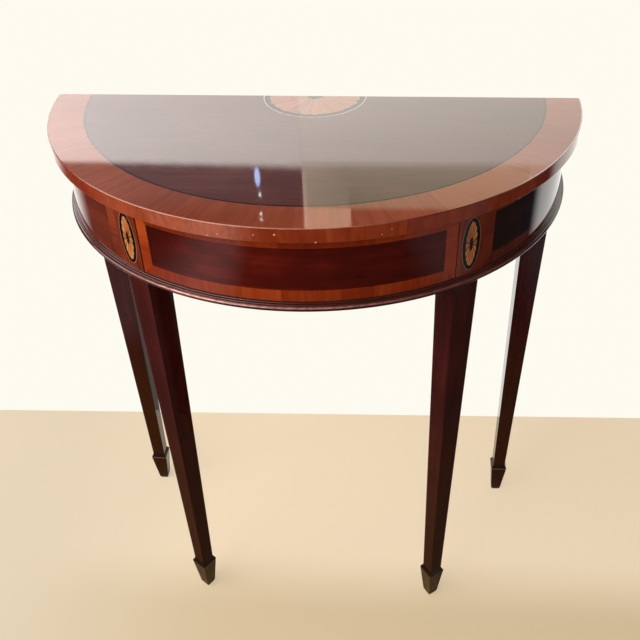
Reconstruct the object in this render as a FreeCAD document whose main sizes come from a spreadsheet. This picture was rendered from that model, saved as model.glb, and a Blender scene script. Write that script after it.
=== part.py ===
import FreeCAD, Part
import math
import os
import re

import Sketcher

# A half-round side table with a drawer in its frieze, inlaid and veneered, on four tapered legs.
# The floor is at z = 0, the straight back edge faces +Y and the bow of the front faces -Y.

# Driving sizes: lengths in millimetres, angles in degrees from the middle of the front.
SIZES = {
    # The half-round top
    "table_height": 766,
    "top_radius": 360,
    "back_setback": 8.6,
    "top_thickness": 18,
    "back_corner_radius": 4,
    "arris_radius": 0.8,
    "veneer": 1.2,
    "edge_band": 1.5,
    "top_banding_width": 45,
    "line_width": 2.4,
    # The half-round fan let into the top at the back
    "fan_radius": 71,
    "fan_line": 1.4,
    "fan_margin": 7,
    "fan_scallop": 1.8,
    "fan_hub_radius": 10.3,
    # The curved frieze and the reeded moulding round its foot
    "top_overhang": 15,
    "frieze_height": 97.2,
    "apron_thickness": 20,
    "banding_width": 16,
    "moulding_height": 9.8,
    "bead_radius": 2.9,
    "moulding_projection": 7.2,
    "reed_step": 1.6,
    # The legs with their spade feet
    "leg_angle": 35.7,
    "leg_block": 38,
    "leg_shoulder": 0.8,
    "ankle_width": 20.8,
    "ankle_height": 69,
    "shoulder_width": 27.4,
    "shoulder_height": 62.3,
    "foot_rim_width": 16.5,
    "foot_rim_height": 5,
    "foot_base_width": 13,
    "leg_arris": 0.8,
    "rear_leg_margin": 24.3,
    "rear_leg_inset": 1.5,
    # The upright oval paterae on the front legs' blocks
    "patera_head_margin": 11.45,
    "patera_foot_margin": 5.65,
    "patera_side_margin": 5.6,
    "patera_line": 0.55,
    "patera_ring": 3.8,
    "patera_scallop": 1,
    "patera_hub_width": 5.2,
    "patera_hub_length": 10.8,
    # Rails and their tenons
    "back_rail_thickness": 18,
    "back_rail_inset": 2,
    "bottom_rail_width": 45,
    "top_rail_width": 32,
    "top_rail_height": 14,
    "top_rail_gap": 1.5,
    "tenon_length": 14,
    "tenon_thickness": 8,
    "tenon_setback": 15,
    "rail_tenon_width": 22,
    "rail_tenon_setback": 2,
    # The drawer and its dovetails
    "drawer_gap": 1.4,
    "drawer_head_gap": 1,
    "drawer_foot_gap": 0.8,
    "drawer_front_thickness": 20,
    "drawer_side_thickness": 9,
    "drawer_side_gap": 1.6,
    "drawer_lift_gap": 1.5,
    "drawer_running_gap": 0.3,
    "drawer_back_thickness": 9,
    "drawer_back_gap": 9,
    "drawer_back_drop": 4,
    "drawer_bottom_thickness": 5,
    "drawer_bottom_rise": 6,
    "groove_depth": 3,
    "seat_depth": 1,
    "tail_length": 8,
    "tail_margin": 4,
    # What carries the drawer
    "runner_lap": 12,
    "guide_gap": 0.5,
    "guide_width": 14,
    "guide_height": 20,
    "guide_end_gap": 2,
    "stop_angle": 14,
    "stop_sweep": 5,
    "stop_width": 12,
    "stop_height": 4.5,
    "stop_gap": 0.4,
    # Glue blocks and screws
    "glue_block": 14,
    "glue_block_edge": 2,
    "glue_block_length": 40,
    "glue_block_sweep": 6,
    "screw_radius": 2,
    "screw_head_radius": 4,
    "screw_head_height": 2.6,
    "screw_length": 25,
    "pin_radius": 1.2,
    "pin_head_radius": 2.4,
    "pin_head_height": 1.4,
    "pin_length": 15,
    # How far a cutting shape runs past what it cuts
    "overrun": 3,
}

# Sizes and places that follow from the driving sizes; depths count forwards from the arc's centre.
LAYOUT = {
    "arc_y": "(top_radius + back_setback) / 2",
    "under_top": "table_height - top_thickness",
    "veneer_bottom": "table_height - veneer",
    "edge_inner": "top_radius - edge_band",
    "line_outer": "edge_inner - top_banding_width",
    "line_inner": "line_outer - line_width",
    "fan_tip_radius": "fan_radius - fan_line - fan_margin",
    "fan_cusp_radius": "fan_tip_radius - fan_scallop",
    "frieze_bottom": "under_top - frieze_height",
    "face_bottom": "frieze_bottom + moulding_height",
    "face_height": "under_top - face_bottom",
    "frieze_radius": "top_radius - top_overhang",
    "core_radius": "frieze_radius - veneer",
    "apron_inner": "core_radius - apron_thickness",
    "apron_middle": "core_radius - apron_thickness / 2",
    "block_inner": "core_radius - leg_block",
    "leg_radius": "core_radius - leg_block / 2",
    "leg_width": "leg_block - 2 * leg_shoulder",
    "rear_leg_x": "core_radius - rear_leg_margin",
    "frame_back": "back_setback + rear_leg_inset",
    "rear_block_front": "frame_back + leg_block",
    "rear_block_inner": "rear_leg_x - leg_block / 2",
    "block_angle": "asin(leg_block / 2 / frieze_radius) / 1 deg",
    "banding_angle": "banding_width / frieze_radius * 180 / pi",
    "drawer_angle": "leg_angle - block_angle - drawer_gap / frieze_radius * 180 / pi",
    "apron_end_angle": "acos(frame_back / frieze_radius) / 1 deg",
    "panel_bottom": "face_bottom + banding_width",
    "panel_height": "face_height - 2 * banding_width",
    "patera_width": "leg_block - 2 * patera_side_margin",
    "patera_length": "face_height - patera_head_margin - patera_foot_margin",
    "patera_middle": "face_bottom + patera_foot_margin + patera_length / 2",
    "bottom_rail_inner": "core_radius - bottom_rail_width",
    "rail_bottom": "under_top - top_rail_height",
    "back_rail_front": "frame_back + back_rail_inset + back_rail_thickness",
    "tenon_bottom": "frieze_bottom + tenon_setback",
    "tenon_height": "frieze_height - 2 * tenon_setback",
    "drawer_inner": "core_radius - drawer_front_thickness",
    "drawer_front_bottom": "face_bottom + drawer_foot_gap",
    "drawer_front_height": "face_height - drawer_foot_gap - drawer_head_gap",
    "top_rail_outer": "drawer_inner - top_rail_gap",
    "top_rail_inner": "top_rail_outer - top_rail_width",
    "side_outer": "block_inner * sin(leg_angle) - leg_block / 2 * cos(leg_angle) - drawer_side_gap",
    "side_inner": "side_outer - drawer_side_thickness",
    "side_bottom": "face_bottom + drawer_running_gap",
    "side_top": "rail_bottom - drawer_lift_gap",
    "side_front": "sqrt(drawer_inner ^ 2 - side_inner ^ 2) + seat_depth",
    "drawer_rear": "back_rail_front + drawer_back_gap",
    "drawer_back_front": "drawer_rear + drawer_back_thickness",
    "bottom_underside": "side_bottom + drawer_bottom_rise",
    "bottom_top": "bottom_underside + drawer_bottom_thickness",
    "drawer_back_top": "side_top - drawer_back_drop",
    "runner_inner": "side_inner - runner_lap",
    "guide_inner": "side_outer + guide_gap",
    "guide_outer": "guide_inner + guide_width",
    "guide_front": "block_inner * cos(leg_angle) - leg_block / 2 * sin(leg_angle) - guide_end_gap",
    "reed_radius": "(moulding_height - 2 * bead_radius) / 4",
    "bead_middle": "frieze_radius + moulding_projection - bead_radius",
}

# Counts, and places along a length given as shares of it
FAN_PETALS = 12
PATERA_PETALS = 16
DRAWER_TAILS = 3
TAIL_ROOT_SHARE = 0.5
TAIL_SLOPE_SHARE = 0.17
SCREW_SHARES = (0.2, 0.75)
PIN_SHARES = (-0.7, 0, 0.7)
GLUE_BLOCK_SHARES = (0.15, 0.5, 0.85)
SIDES = (("left", -1), ("right", 1))
QUARTER_TURN = 90
HALF_TURN = 180
FULL_TURN = 360

doc = FreeCAD.newDocument("demilune_table")
sheet = doc.addObject("Spreadsheet::Sheet", "Sizes")
for row, (alias, value) in enumerate(SIZES.items(), start=1):
    sheet.set(f"A{row}", alias)
    sheet.set(f"B{row}", str(value))
    sheet.setAlias(f"B{row}", alias)
doc.recompute()
layout = doc.addObject("App::VarSet", "Layout")
nodes = []


def formula(words):
    """Turn the plain names in words into names that an expression of the document can read."""
    def full_name(match):
        name = match.group(0)
        if name in SIZES:
            return f"Sizes.{name}"
        return f"Layout.{name}" if name in LAYOUT else name
    return re.sub(r"[a-z][a-z_]*", full_name, words)


for name, words in LAYOUT.items():
    layout.addProperty("App::PropertyFloat", name)
    layout.setExpression(name, formula(words))
doc.recompute()


def bind(target, sizes):
    """Bind properties of target to expressions in plain names."""
    for prop, words in sizes.items():
        target.setExpression(prop, formula(words))


def place(target, x, y, z, turn="0"):
    """Put target at x, y, z from the arc's centre on the floor, swung round that centre by turn."""
    bind(target, {
        "Placement.Base.x": f"({x}) * cos({turn}) - ({y}) * sin({turn})",
        "Placement.Base.y": f"arc_y + ({x}) * sin({turn}) + ({y}) * cos({turn})",
        "Placement.Base.z": z,
        "Placement.Rotation.Angle": turn,
    })


def box(label, start, size, sign=1, turn="0"):
    """Make a box from its low corner and its size; a sign of -1 mirrors it to the left half."""
    x, y, z = start
    if sign < 0:
        x = f"-({x}) - ({size[0]})"
        turn = f"-({turn})"
    made = doc.addObject("Part::Box", label)
    bind(made, {"Length": size[0], "Width": size[1], "Height": size[2]})
    place(made, x, y, z, turn)
    return made


def cylinder(label, radius, bottom, height, sweep="360", turn="0", middle=("0", "0")):
    """Make an upright cylinder, or a sector of one that starts at the angle turn from +X."""
    made = doc.addObject("Part::Cylinder", label)
    bind(made, {"Radius": radius, "Height": height, "Angle": sweep})
    place(made, middle[0], middle[1], bottom)
    bind(made, {"Placement.Rotation.Angle": turn})
    return made


def cut(label, base, *tools):
    """Take each tool away from base in turn."""
    for count, tool in enumerate(tools, start=1):
        made = doc.addObject("Part::Cut", label if count == len(tools) else f"{label}_cut_{count}")
        made.Base = base
        made.Tool = tool
        base = made
    return base


def fuse(label, *pieces):
    """Join pieces that are worked from one length of wood."""
    made = doc.addObject("Part::MultiFuse", label)
    made.Shapes = list(pieces)
    return made


def common(label, first, second):
    """Keep what two shapes share."""
    made = doc.addObject("Part::Common", label)
    made.Base = first
    made.Tool = second
    return made


def group(label, pieces):
    """Hold like pieces together as separate solids."""
    made = doc.addObject("Part::Compound", label)
    made.Links = list(pieces)
    return made


def ring(label, inner, outer, start, end, bottom, height):
    """Make a curved bar between two radii, from one angle to another, seen from the front."""
    sweep, turn = f"({end}) - ({start})", f"({start}) - {QUARTER_TURN}"
    rim = cylinder(f"{label}_rim", outer, bottom, height, sweep, turn)
    bore = cylinder(f"{label}_bore", inner, f"({bottom}) - overrun", f"({height}) + 2 * overrun")
    return cut(label, rim, bore)


def side_ring(label, sign, inner, outer, start, end, bottom, height):
    """Make a curved bar on the right half, or its mirror image on the left."""
    if sign < 0:
        start, end = f"-({end})", f"-({start})"
    return ring(label, inner, outer, start, end, bottom, height)


def node(made):
    """Count made among the table's separate pieces."""
    nodes.append(made)
    return made


def body_with_outline(label, role, corners, offset="0", body=None):
    """Draw a closed outline on a plane of a body and return both.

    A corner is (x, y) in plain names. A corner (x, y, centre x, centre y) ends an arc that turns
    anticlockwise; there one of x and y is None, because the arc settles it, on the side of the centre
    that the arc leads to.
    """
    body = body or doc.addObject("PartDesign::Body", label)
    points = doc.addObject("App::VarSet", f"{label}_points")
    words = {}
    for index, corner in enumerate(corners):
        words.update({f"p{index}_{part}": text for part, text in zip("xyuv", corner) if text is not None})
    for name, text in words.items():
        points.addProperty("App::PropertyFloat", name)
        points.setExpression(name, formula(text))
    doc.recompute()
    sketch = body.newObject("Sketcher::SketchObject", f"{label}_outline")
    plane = [feature for feature in body.Origin.OriginFeatures if feature.Role == role][0]
    sketch.AttachmentSupport = (plane, [""])
    sketch.MapMode = "FlatFace"
    bind(sketch, {"AttachmentOffset.Base.z": offset})
    draw_outline(sketch, points, corners)
    doc.recompute()
    return body, sketch


def draw_outline(sketch, points, corners):
    """Add the edges of an outline to a sketch and bind each corner to its value in points."""
    def at(index, across, along):
        return FreeCAD.Vector(getattr(points, f"p{index}_{across}"), getattr(points, f"p{index}_{along}"), 0)

    spots = []
    for index, corner in enumerate(corners):
        if None not in corner:
            spots.append(at(index, "x", "y"))
            continue
        centre = at(index, "u", "v")
        reach = (spots[-1] - centre).Length
        start = spots[-1] - centre
        if corner[0] is None:
            level = getattr(points, f"p{index}_y") - centre.y
            across = math.copysign(math.sqrt(max(reach ** 2 - level ** 2, 0)), -start.y)
            spots.append(centre + FreeCAD.Vector(across, level, 0))
        else:
            level = getattr(points, f"p{index}_x") - centre.x
            along = math.copysign(math.sqrt(max(reach ** 2 - level ** 2, 0)), start.x)
            spots.append(centre + FreeCAD.Vector(level, along, 0))
    count = len(corners)
    for index, corner in enumerate(corners):
        start, end = spots[index - 1], spots[index]
        if len(corner) == 2:
            sketch.addGeometry(Part.LineSegment(start, end), False)
            continue
        centre = at(index, "u", "v")
        circle = Part.Circle(centre, FreeCAD.Vector(0, 0, 1), (start - centre).Length)
        first = math.atan2(start.y - centre.y, start.x - centre.x)
        last = math.atan2(end.y - centre.y, end.x - centre.x)
        sketch.addGeometry(Part.ArcOfCircle(circle, first, last), False)
    for index in range(count):
        sketch.addConstraint(Sketcher.Constraint("Coincident", index, 2, (index + 1) % count, 1))
    for index, corner in enumerate(corners):
        held = [("DistanceX", 2, "x"), ("DistanceY", 2, "y"), ("DistanceX", 3, "u"), ("DistanceY", 3, "v")]
        for (kind, end, part), text in zip(held, corner):
            if text is None:
                continue
            name = f"p{index}_{part}"
            value = getattr(points, name)
            sketch.addConstraint(Sketcher.Constraint(kind, -1, 1, index, end, value))
            sketch.renameConstraint(sketch.ConstraintCount - 1, name)
            sketch.setExpression(f"Constraints.{name}", f"{points.Name}.{name}")


def revolved_half(label, corners):
    """Turn a profile of radius and height through the half circle at the front."""
    body, sketch = body_with_outline(label, "XZ_Plane", corners)
    turned = body.newObject("PartDesign::Revolution", f"{label}_turned")
    turned.Profile = sketch
    turned.ReferenceAxis = (sketch, ["V_Axis"])
    turned.Midplane = True
    turned.Angle = HALF_TURN
    place(body, "0", "0", "0")
    bind(body, {"Placement.Rotation.Angle": f"-{QUARTER_TURN}"})
    return body


def screw(label, x, y, bottom, radius, head_radius, head_height, length):
    """Make a countersunk screw that points up, with its head flush at bottom."""
    head = doc.addObject("Part::Cone", f"{label}_head")
    bind(head, {"Radius1": head_radius, "Radius2": radius, "Height": head_height})
    place(head, x, y, bottom)
    shank = cylinder(f"{label}_shank", radius, bottom, length, middle=(x, y))
    return fuse(label, head, shank)


# Shapes that only cut others
WHOLE_WIDTH = ("-top_radius - overrun", "2 * (top_radius + overrun)")


def space_behind(label, depth):
    """Fill everything behind an upright plane that stands depth in front of the arc's centre."""
    return box(label, (WHOLE_WIDTH[0], f"-({depth})", "-overrun"),
               (WHOLE_WIDTH[1], f"top_radius + ({depth}) + overrun", "table_height + 2 * overrun"))


behind_top = space_behind("behind_top", "back_setback")
behind_frame = space_behind("behind_frame", "frame_back")
front_blocks = {}
drawer_ends = {}
for side, sign in SIDES:
    tall = ("frieze_bottom - overrun", "frieze_height + 2 * overrun")
    front_blocks[side] = box(
        f"{side}_block_space", ("-leg_block / 2", "-frieze_radius - overrun", tall[0]),
        ("leg_block", "leg_block + veneer + overrun", tall[1]), sign, "leg_angle")
    drawer_ends[side] = box(
        f"{side}_drawer_end", ("-leg_block / 2 - drawer_gap", "-frieze_radius - overrun", tall[0]),
        ("leg_block + 2 * drawer_gap", "leg_block + veneer + overrun", tall[1]), sign, "leg_angle")


# The screws that hold the top, driven up through the kickers
KICKER_LENGTH = "(top_rail_inner * cos(leg_angle) - back_rail_front)"
top_screws = []
for side, sign in SIDES:
    for share in SCREW_SHARES:
        top_screws.append(screw(
            f"{side}_top_screw_{len(top_screws)}", f"{sign} * (runner_inner + side_inner) / 2",
            f"-back_rail_front - {share} * {KICKER_LENGTH}", "rail_bottom",
            "screw_radius", "screw_head_radius", "screw_head_height", "screw_length"))
top_screw_group = node(group("top_screws", top_screws))


# The top: a board, a crossbanded edge, and a face of field, black line and crossbanding
CORNER_X = "(sqrt(top_radius ^ 2 - back_setback ^ 2) - back_corner_radius)"
CORNER_Y = "(-back_setback - back_corner_radius)"
corner_waste = []
for side, sign in SIDES:
    size = ("back_corner_radius + overrun", "back_corner_radius + overrun", "table_height + 2 * overrun")
    waste = box(f"{side}_corner_square", (CORNER_X, CORNER_Y, "-overrun"), size, sign)
    kept = cylinder(f"{side}_corner_round", "back_corner_radius", "-2 * overrun",
                    "table_height + 4 * overrun", middle=(f"{sign} * {CORNER_X}", CORNER_Y))
    corner_waste.append(cut(f"{side}_corner_waste", waste, kept))

board = cylinder("top_blank", "edge_inner", "under_top", "top_thickness - veneer")
node(cut("top_board", board, behind_top, *corner_waste, top_screw_group))

edge = revolved_half("top_edge_blank", [
    ("edge_inner", "under_top"),
    ("top_radius - arris_radius", "under_top"),
    (None, "under_top + arris_radius", "top_radius - arris_radius", "under_top + arris_radius"),
    ("top_radius", "table_height - arris_radius"),
    ("top_radius - arris_radius", None, "top_radius - arris_radius", "table_height - arris_radius"),
    ("edge_inner", "table_height"),
])
node(cut("top_edge_band", edge, behind_top, *corner_waste))


def face_ring(label, inner, outer):
    """Make a half ring of veneer in the face of the top."""
    return ring(label, inner, outer, f"-{QUARTER_TURN}", f"{QUARTER_TURN}", "veneer_bottom", "veneer")


BACK_MIDDLE = ("0", "-back_setback")


def fan_disc(label, radius, extra="0"):
    """Make a half disc of veneer whose straight side lies on the back edge."""
    return cylinder(label, radius, f"veneer_bottom - ({extra})", f"veneer + 2 * ({extra})",
                    f"{HALF_TURN}", f"{HALF_TURN}", BACK_MIDDLE)


banding = face_ring("top_banding_blank", "line_outer", "edge_inner")
node(cut("top_crossbanding", banding, behind_top, *corner_waste))
line = face_ring("top_line_blank", "line_inner", "line_outer")
node(cut("top_stringing", line, behind_top))
field = cylinder("top_field_blank", "line_inner", "veneer_bottom", "veneer")
fan_space = cylinder("fan_space", "fan_radius", "veneer_bottom - overrun", "veneer + 2 * overrun",
                     middle=BACK_MIDDLE)
node(cut("top_field_veneer", field, behind_top, fan_space))


# The fan: a pale line round a dark ground, with light petals about a dark hub
def petal_face(middle, cusps, tip):
    """Outline one petal: straight sides from the middle and a round end through its tip."""
    edges = [Part.makeLine(middle, cusps[0]), Part.Arc(cusps[0], tip, cusps[1]).toShape(),
             Part.makeLine(cusps[1], middle)]
    return Part.Face(Part.Wire(edges))


def fan_petals():
    """Cut the light petals of the fan, side by side round its half circle."""
    middle = FreeCAD.Vector(0, layout.arc_y - sheet.back_setback, layout.veneer_bottom)

    def spot(radius, angle):
        turn = math.radians(angle)
        return middle + FreeCAD.Vector(radius * math.cos(turn), radius * math.sin(turn), 0)

    hub = Part.makeCylinder(sheet.fan_hub_radius, sheet.veneer, middle)
    step = HALF_TURN / FAN_PETALS
    petals = []
    for count in range(FAN_PETALS):
        low = HALF_TURN + count * step
        cusps = [spot(layout.fan_cusp_radius, low), spot(layout.fan_cusp_radius, low + step)]
        face = petal_face(middle, cusps, spot(layout.fan_tip_radius, low + step / 2))
        petals.append(face.extrude(FreeCAD.Vector(0, 0, sheet.veneer)).cut(hub))
    made = doc.addObject("Part::Feature", "fan_petals")
    made.Shape = Part.makeCompound([piece.Solids[0] for piece in petals])
    return made


petals = node(fan_petals())
node(fan_disc("fan_hub", "fan_hub_radius"))
hub_space = fan_disc("fan_hub_space", "fan_hub_radius", "overrun")
node(cut("fan_ground", fan_disc("fan_ground_blank", "fan_radius - fan_line"), petals, hub_space))
inner_space = fan_disc("fan_inner_space", "fan_radius - fan_line", "overrun")
node(cut("fan_stringing", fan_disc("fan_disc_blank", "fan_radius"), inner_space))


# Tenons, each worked on the end of its rail and let into a leg
def leg_tenon(label, sign, start, width, bottom, height, inwards):
    """Make a tenon in the side of a front leg: towards the drawer, or away from it."""
    across = "-leg_block / 2 - overrun" if inwards else "leg_block / 2 - tenon_length"
    return box(label, (across, f"-({start}) - ({width})", bottom), ("tenon_length + overrun", width, height),
               sign, "leg_angle")


TENON_SPAN = ("tenon_bottom", "tenon_height")
APRON_TENON_X = "(sqrt(apron_middle ^ 2 - rear_block_front ^ 2) - tenon_thickness / 2)"
tenons = {}
for side, sign in SIDES:
    tenons[side, "apron"] = leg_tenon(
        f"{side}_apron_tenon", sign, "apron_middle - tenon_thickness / 2", "tenon_thickness",
        *TENON_SPAN, False)
    tenons[side, "bottom_rail"] = leg_tenon(
        f"{side}_bottom_rail_tenon", sign, "leg_radius - rail_tenon_width / 2", "rail_tenon_width",
        "frieze_bottom + rail_tenon_setback", "moulding_height - 2 * rail_tenon_setback", True)
    tenons[side, "top_rail"] = leg_tenon(
        f"{side}_top_rail_tenon", sign, "block_inner + rail_tenon_setback", "tenon_thickness",
        "rail_bottom + rail_tenon_setback", "top_rail_height - rail_tenon_setback", True)
    tenons[side, "apron_rear"] = box(
        f"{side}_apron_rear_tenon", (APRON_TENON_X, "-rear_block_front - overrun", TENON_SPAN[0]),
        ("tenon_thickness", "tenon_length + overrun", TENON_SPAN[1]), sign)
    tenons[side, "back_rail"] = box(
        f"{side}_back_rail_tenon",
        ("rear_block_inner - overrun", "-back_rail_front + (back_rail_thickness - tenon_thickness) / 2",
         TENON_SPAN[0]),
        ("tenon_length + overrun", "tenon_thickness", TENON_SPAN[1]), sign)


# The legs: a block in the frieze, a taper down to the ankle and a spade foot
LEG_SECTIONS = (
    ("foot_base", "0", "foot_base_width"), ("foot_rim", "foot_rim_height", "foot_rim_width"),
    ("shoulder", "shoulder_height", "shoulder_width"),
    ("ankle", "ankle_height", "ankle_width"), ("leg_head", "frieze_bottom", "leg_width"))


def rounded_square(width):
    """List the corners of a square section whose arrises are eased, each flat followed by its arc."""
    half, flat = f"{width} / 2", f"({width} / 2 - leg_arris)"
    return [(flat, f"-{half}"), (None, f"-{flat}", flat, f"-{flat}"),
            (half, flat), (flat, None, flat, flat),
            (f"-{flat}", half), (None, flat, f"-{flat}", flat),
            (f"-{half}", f"-{flat}"), (f"-{flat}", None, f"-{flat}", f"-{flat}")]


def tapered_leg(label):
    """Loft the square sections of a leg from the floor to the frieze."""
    body = doc.addObject("PartDesign::Body", label)
    sketches = []
    for name, height, width in LEG_SECTIONS:
        corners = rounded_square(width)
        body, sketch = body_with_outline(f"{label}_{name}", "XY_Plane", corners, height, body)
        sketches.append(sketch)
    loft = body.newObject("PartDesign::AdditiveLoft", f"{label}_loft")
    loft.Profile = sketches[0]
    loft.Sections = sketches[1:]
    loft.Ruled = True
    return body


BLOCK_SPAN = ("frieze_bottom", "frieze_height")
for side, sign in SIDES:
    taper = tapered_leg(f"front_{side}_taper")
    place(taper, "0", "-leg_radius", "0", f"{sign} * leg_angle")
    square = box(f"front_{side}_block_square", ("-leg_block / 2", "-core_radius", BLOCK_SPAN[0]),
                 ("leg_block", "leg_block", BLOCK_SPAN[1]), sign, "leg_angle")
    rounding = cylinder(f"front_{side}_block_round", "core_radius", *BLOCK_SPAN)
    block = common(f"front_{side}_block", square, rounding)
    leg = fuse(f"front_{side}_leg_blank", taper, block)
    let_in = [tenons[side, rail] for rail in ("apron", "bottom_rail", "top_rail")]
    node(cut(f"front_{side}_leg", leg, *let_in))
for side, sign in SIDES:
    taper = tapered_leg(f"rear_{side}_taper")
    place(taper, f"{sign} * rear_leg_x", "-frame_back - leg_width / 2", "0")
    square = box(f"rear_{side}_block_square", ("rear_block_inner", "-rear_block_front", BLOCK_SPAN[0]),
                 ("core_radius - rear_block_inner", "leg_block", BLOCK_SPAN[1]), sign)
    rounding = cylinder(f"rear_{side}_block_round", "core_radius", *BLOCK_SPAN)
    block = common(f"rear_{side}_block", square, rounding)
    leg = fuse(f"rear_{side}_leg_blank", taper, block)
    node(cut(f"rear_{side}_leg", leg, tenons[side, "apron_rear"], tenons[side, "back_rail"]))


# The curved side aprons with their veneered faces, and the straight rail at the back
for side, sign in SIDES:
    span = ("leg_angle", f"{QUARTER_TURN}")
    blank = side_ring(f"{side}_apron_blank", sign, "apron_inner", "core_radius", *span, *BLOCK_SPAN)
    rear_space = box(f"{side}_rear_block_space",
                     ("rear_block_inner", "-rear_block_front", "frieze_bottom - overrun"),
                     ("top_radius", "top_radius", "frieze_height + 2 * overrun"), sign)
    trimmed = cut(f"{side}_apron_bar", blank, front_blocks[side], rear_space)
    node(fuse(f"{side}_apron", trimmed, tenons[side, "apron"], tenons[side, "apron_rear"]))
    panel_span = ("leg_angle + block_angle + banding_angle", "apron_end_angle - banding_angle")
    panel = node(side_ring(f"{side}_apron_panel", sign, "core_radius", "frieze_radius", *panel_span,
                           "panel_bottom", "panel_height"))
    face = side_ring(f"{side}_apron_face", sign, "core_radius", "frieze_radius", *span,
                     "face_bottom", "face_height")
    node(cut(f"{side}_apron_crossbanding", face, front_blocks[side], behind_frame, panel))
rail = box("back_rail_bar", ("-rear_block_inner", "-back_rail_front", BLOCK_SPAN[0]),
           ("2 * rear_block_inner", "back_rail_thickness", BLOCK_SPAN[1]))
node(fuse("back_rail", rail, *(tenons[side, "back_rail"] for side, sign in SIDES)))


# The front rails above and below the drawer, and the reeded moulding round the foot of the frieze
FRONT_SPAN = ("-leg_angle", "leg_angle")
bottom_bar = ring("bottom_rail_blank", "bottom_rail_inner", "core_radius", *FRONT_SPAN,
                  "frieze_bottom", "moulding_height")
top_bar = ring("top_rail_blank", "top_rail_inner", "top_rail_outer", *FRONT_SPAN,
               "rail_bottom", "top_rail_height")
FRONT_RAILS = (("front_bottom_rail", bottom_bar, "bottom_rail"), ("front_top_rail", top_bar, "top_rail"))
for label, bar, tenon in FRONT_RAILS:
    trimmed = cut(f"{label}_bar", bar, *front_blocks.values())
    node(fuse(label, trimmed, *(tenons[side, tenon] for side, sign in SIDES)))

STEPS = ("bead_middle - 2 * reed_step", "bead_middle - reed_step", "bead_middle")
moulding = revolved_half("moulding_blank", [
    ("core_radius", "frieze_bottom"),
    (STEPS[2], "frieze_bottom"),
    (STEPS[2], None, STEPS[2], "frieze_bottom + bead_radius"),
    (STEPS[1], "frieze_bottom + 2 * bead_radius"),
    (STEPS[1], None, STEPS[1], "frieze_bottom + 2 * bead_radius + reed_radius"),
    (STEPS[0], "face_bottom - 2 * reed_radius"),
    (STEPS[0], None, STEPS[0], "face_bottom - reed_radius"),
    ("core_radius", "face_bottom"),
])
node(cut("base_moulding", moulding, behind_frame))


# The veneered faces of the front legs' blocks, with their oval paterae
def forward_prism(face):
    """Stretch a face that stands over the arc's centre forwards, past the frieze."""
    return face.extrude(FreeCAD.Vector(0, -layout.frieze_radius - sheet.overrun, 0))


def oval_prism(half_width, half_length):
    """Make an upright oval that runs forwards from the arc's centre."""
    middle = FreeCAD.Vector(0, 0, layout.patera_middle)
    head = middle + FreeCAD.Vector(0, 0, half_length)
    oval = Part.Ellipse(head, middle + FreeCAD.Vector(half_width, 0, 0), middle)
    return forward_prism(Part.Face(Part.Wire([oval.toShape()])))


def patera_petal(index, half_width, half_length):
    """Make one petal of the oval, from its middle out to the scalloped edge."""
    middle = FreeCAD.Vector(0, 0, layout.patera_middle)
    step = FULL_TURN / PATERA_PETALS

    def spot(inset, angle):
        turn = math.radians(QUARTER_TURN + angle)
        across = (half_width - inset) * math.cos(turn)
        return middle + FreeCAD.Vector(across, 0, (half_length - inset) * math.sin(turn))

    low = (index - 1 / 2) * step
    cusps = [spot(sheet.patera_scallop, low), spot(sheet.patera_scallop, low + step)]
    return forward_prism(petal_face(middle, cusps, spot(0, low + step / 2)))


def patera_shapes():
    """Cut the pale line, dark ground, light petals and dark hub of a patera out of the frieze's veneer."""
    height = sheet.frieze_height
    low = FreeCAD.Vector(0, 0, layout.frieze_bottom)
    skin = Part.makeCylinder(layout.frieze_radius, height, low)
    skin = skin.cut(Part.makeCylinder(layout.core_radius, height, low))
    half_width, half_length = layout.patera_width / 2, layout.patera_length / 2
    rim = sheet.patera_line
    tip = sheet.patera_line + sheet.patera_ring
    outer = skin.common(oval_prism(half_width, half_length))
    inner = skin.common(oval_prism(half_width - rim, half_length - rim))
    hub = skin.common(oval_prism(sheet.patera_hub_width / 2, sheet.patera_hub_length / 2))
    petals = [skin.common(patera_petal(index, half_width - tip, half_length - tip)).cut(hub)
              for index in range(PATERA_PETALS)]
    ground = inner.cut(hub)
    for petal in petals:
        ground = ground.cut(petal)
    return {
        "patera_stringing": outer.cut(inner),
        "patera_ground": ground,
        "patera_petals": Part.makeCompound([petal.Solids[0] for petal in petals]),
        "patera_hub": hub,
        "patera_space": oval_prism(half_width, half_length),
    }


patera = patera_shapes()
for side, sign in SIDES:
    skin = side_ring(f"{side}_facing_skin", sign, "core_radius", "frieze_radius",
                     "leg_angle - 2 * block_angle", "leg_angle + 2 * block_angle",
                     "face_bottom", "face_height")
    for label, shape in patera.items():
        made = doc.addObject("Part::Feature", f"{side}_{label}")
        made.Shape = shape
        place(made, "0", "0", "0", f"{sign} * leg_angle")
        if label == "patera_space":
            facing = common(f"{side}_facing_blank", skin, front_blocks[side])
            node(cut(f"{side}_leg_facing", facing, made))
        else:
            node(made)


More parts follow.
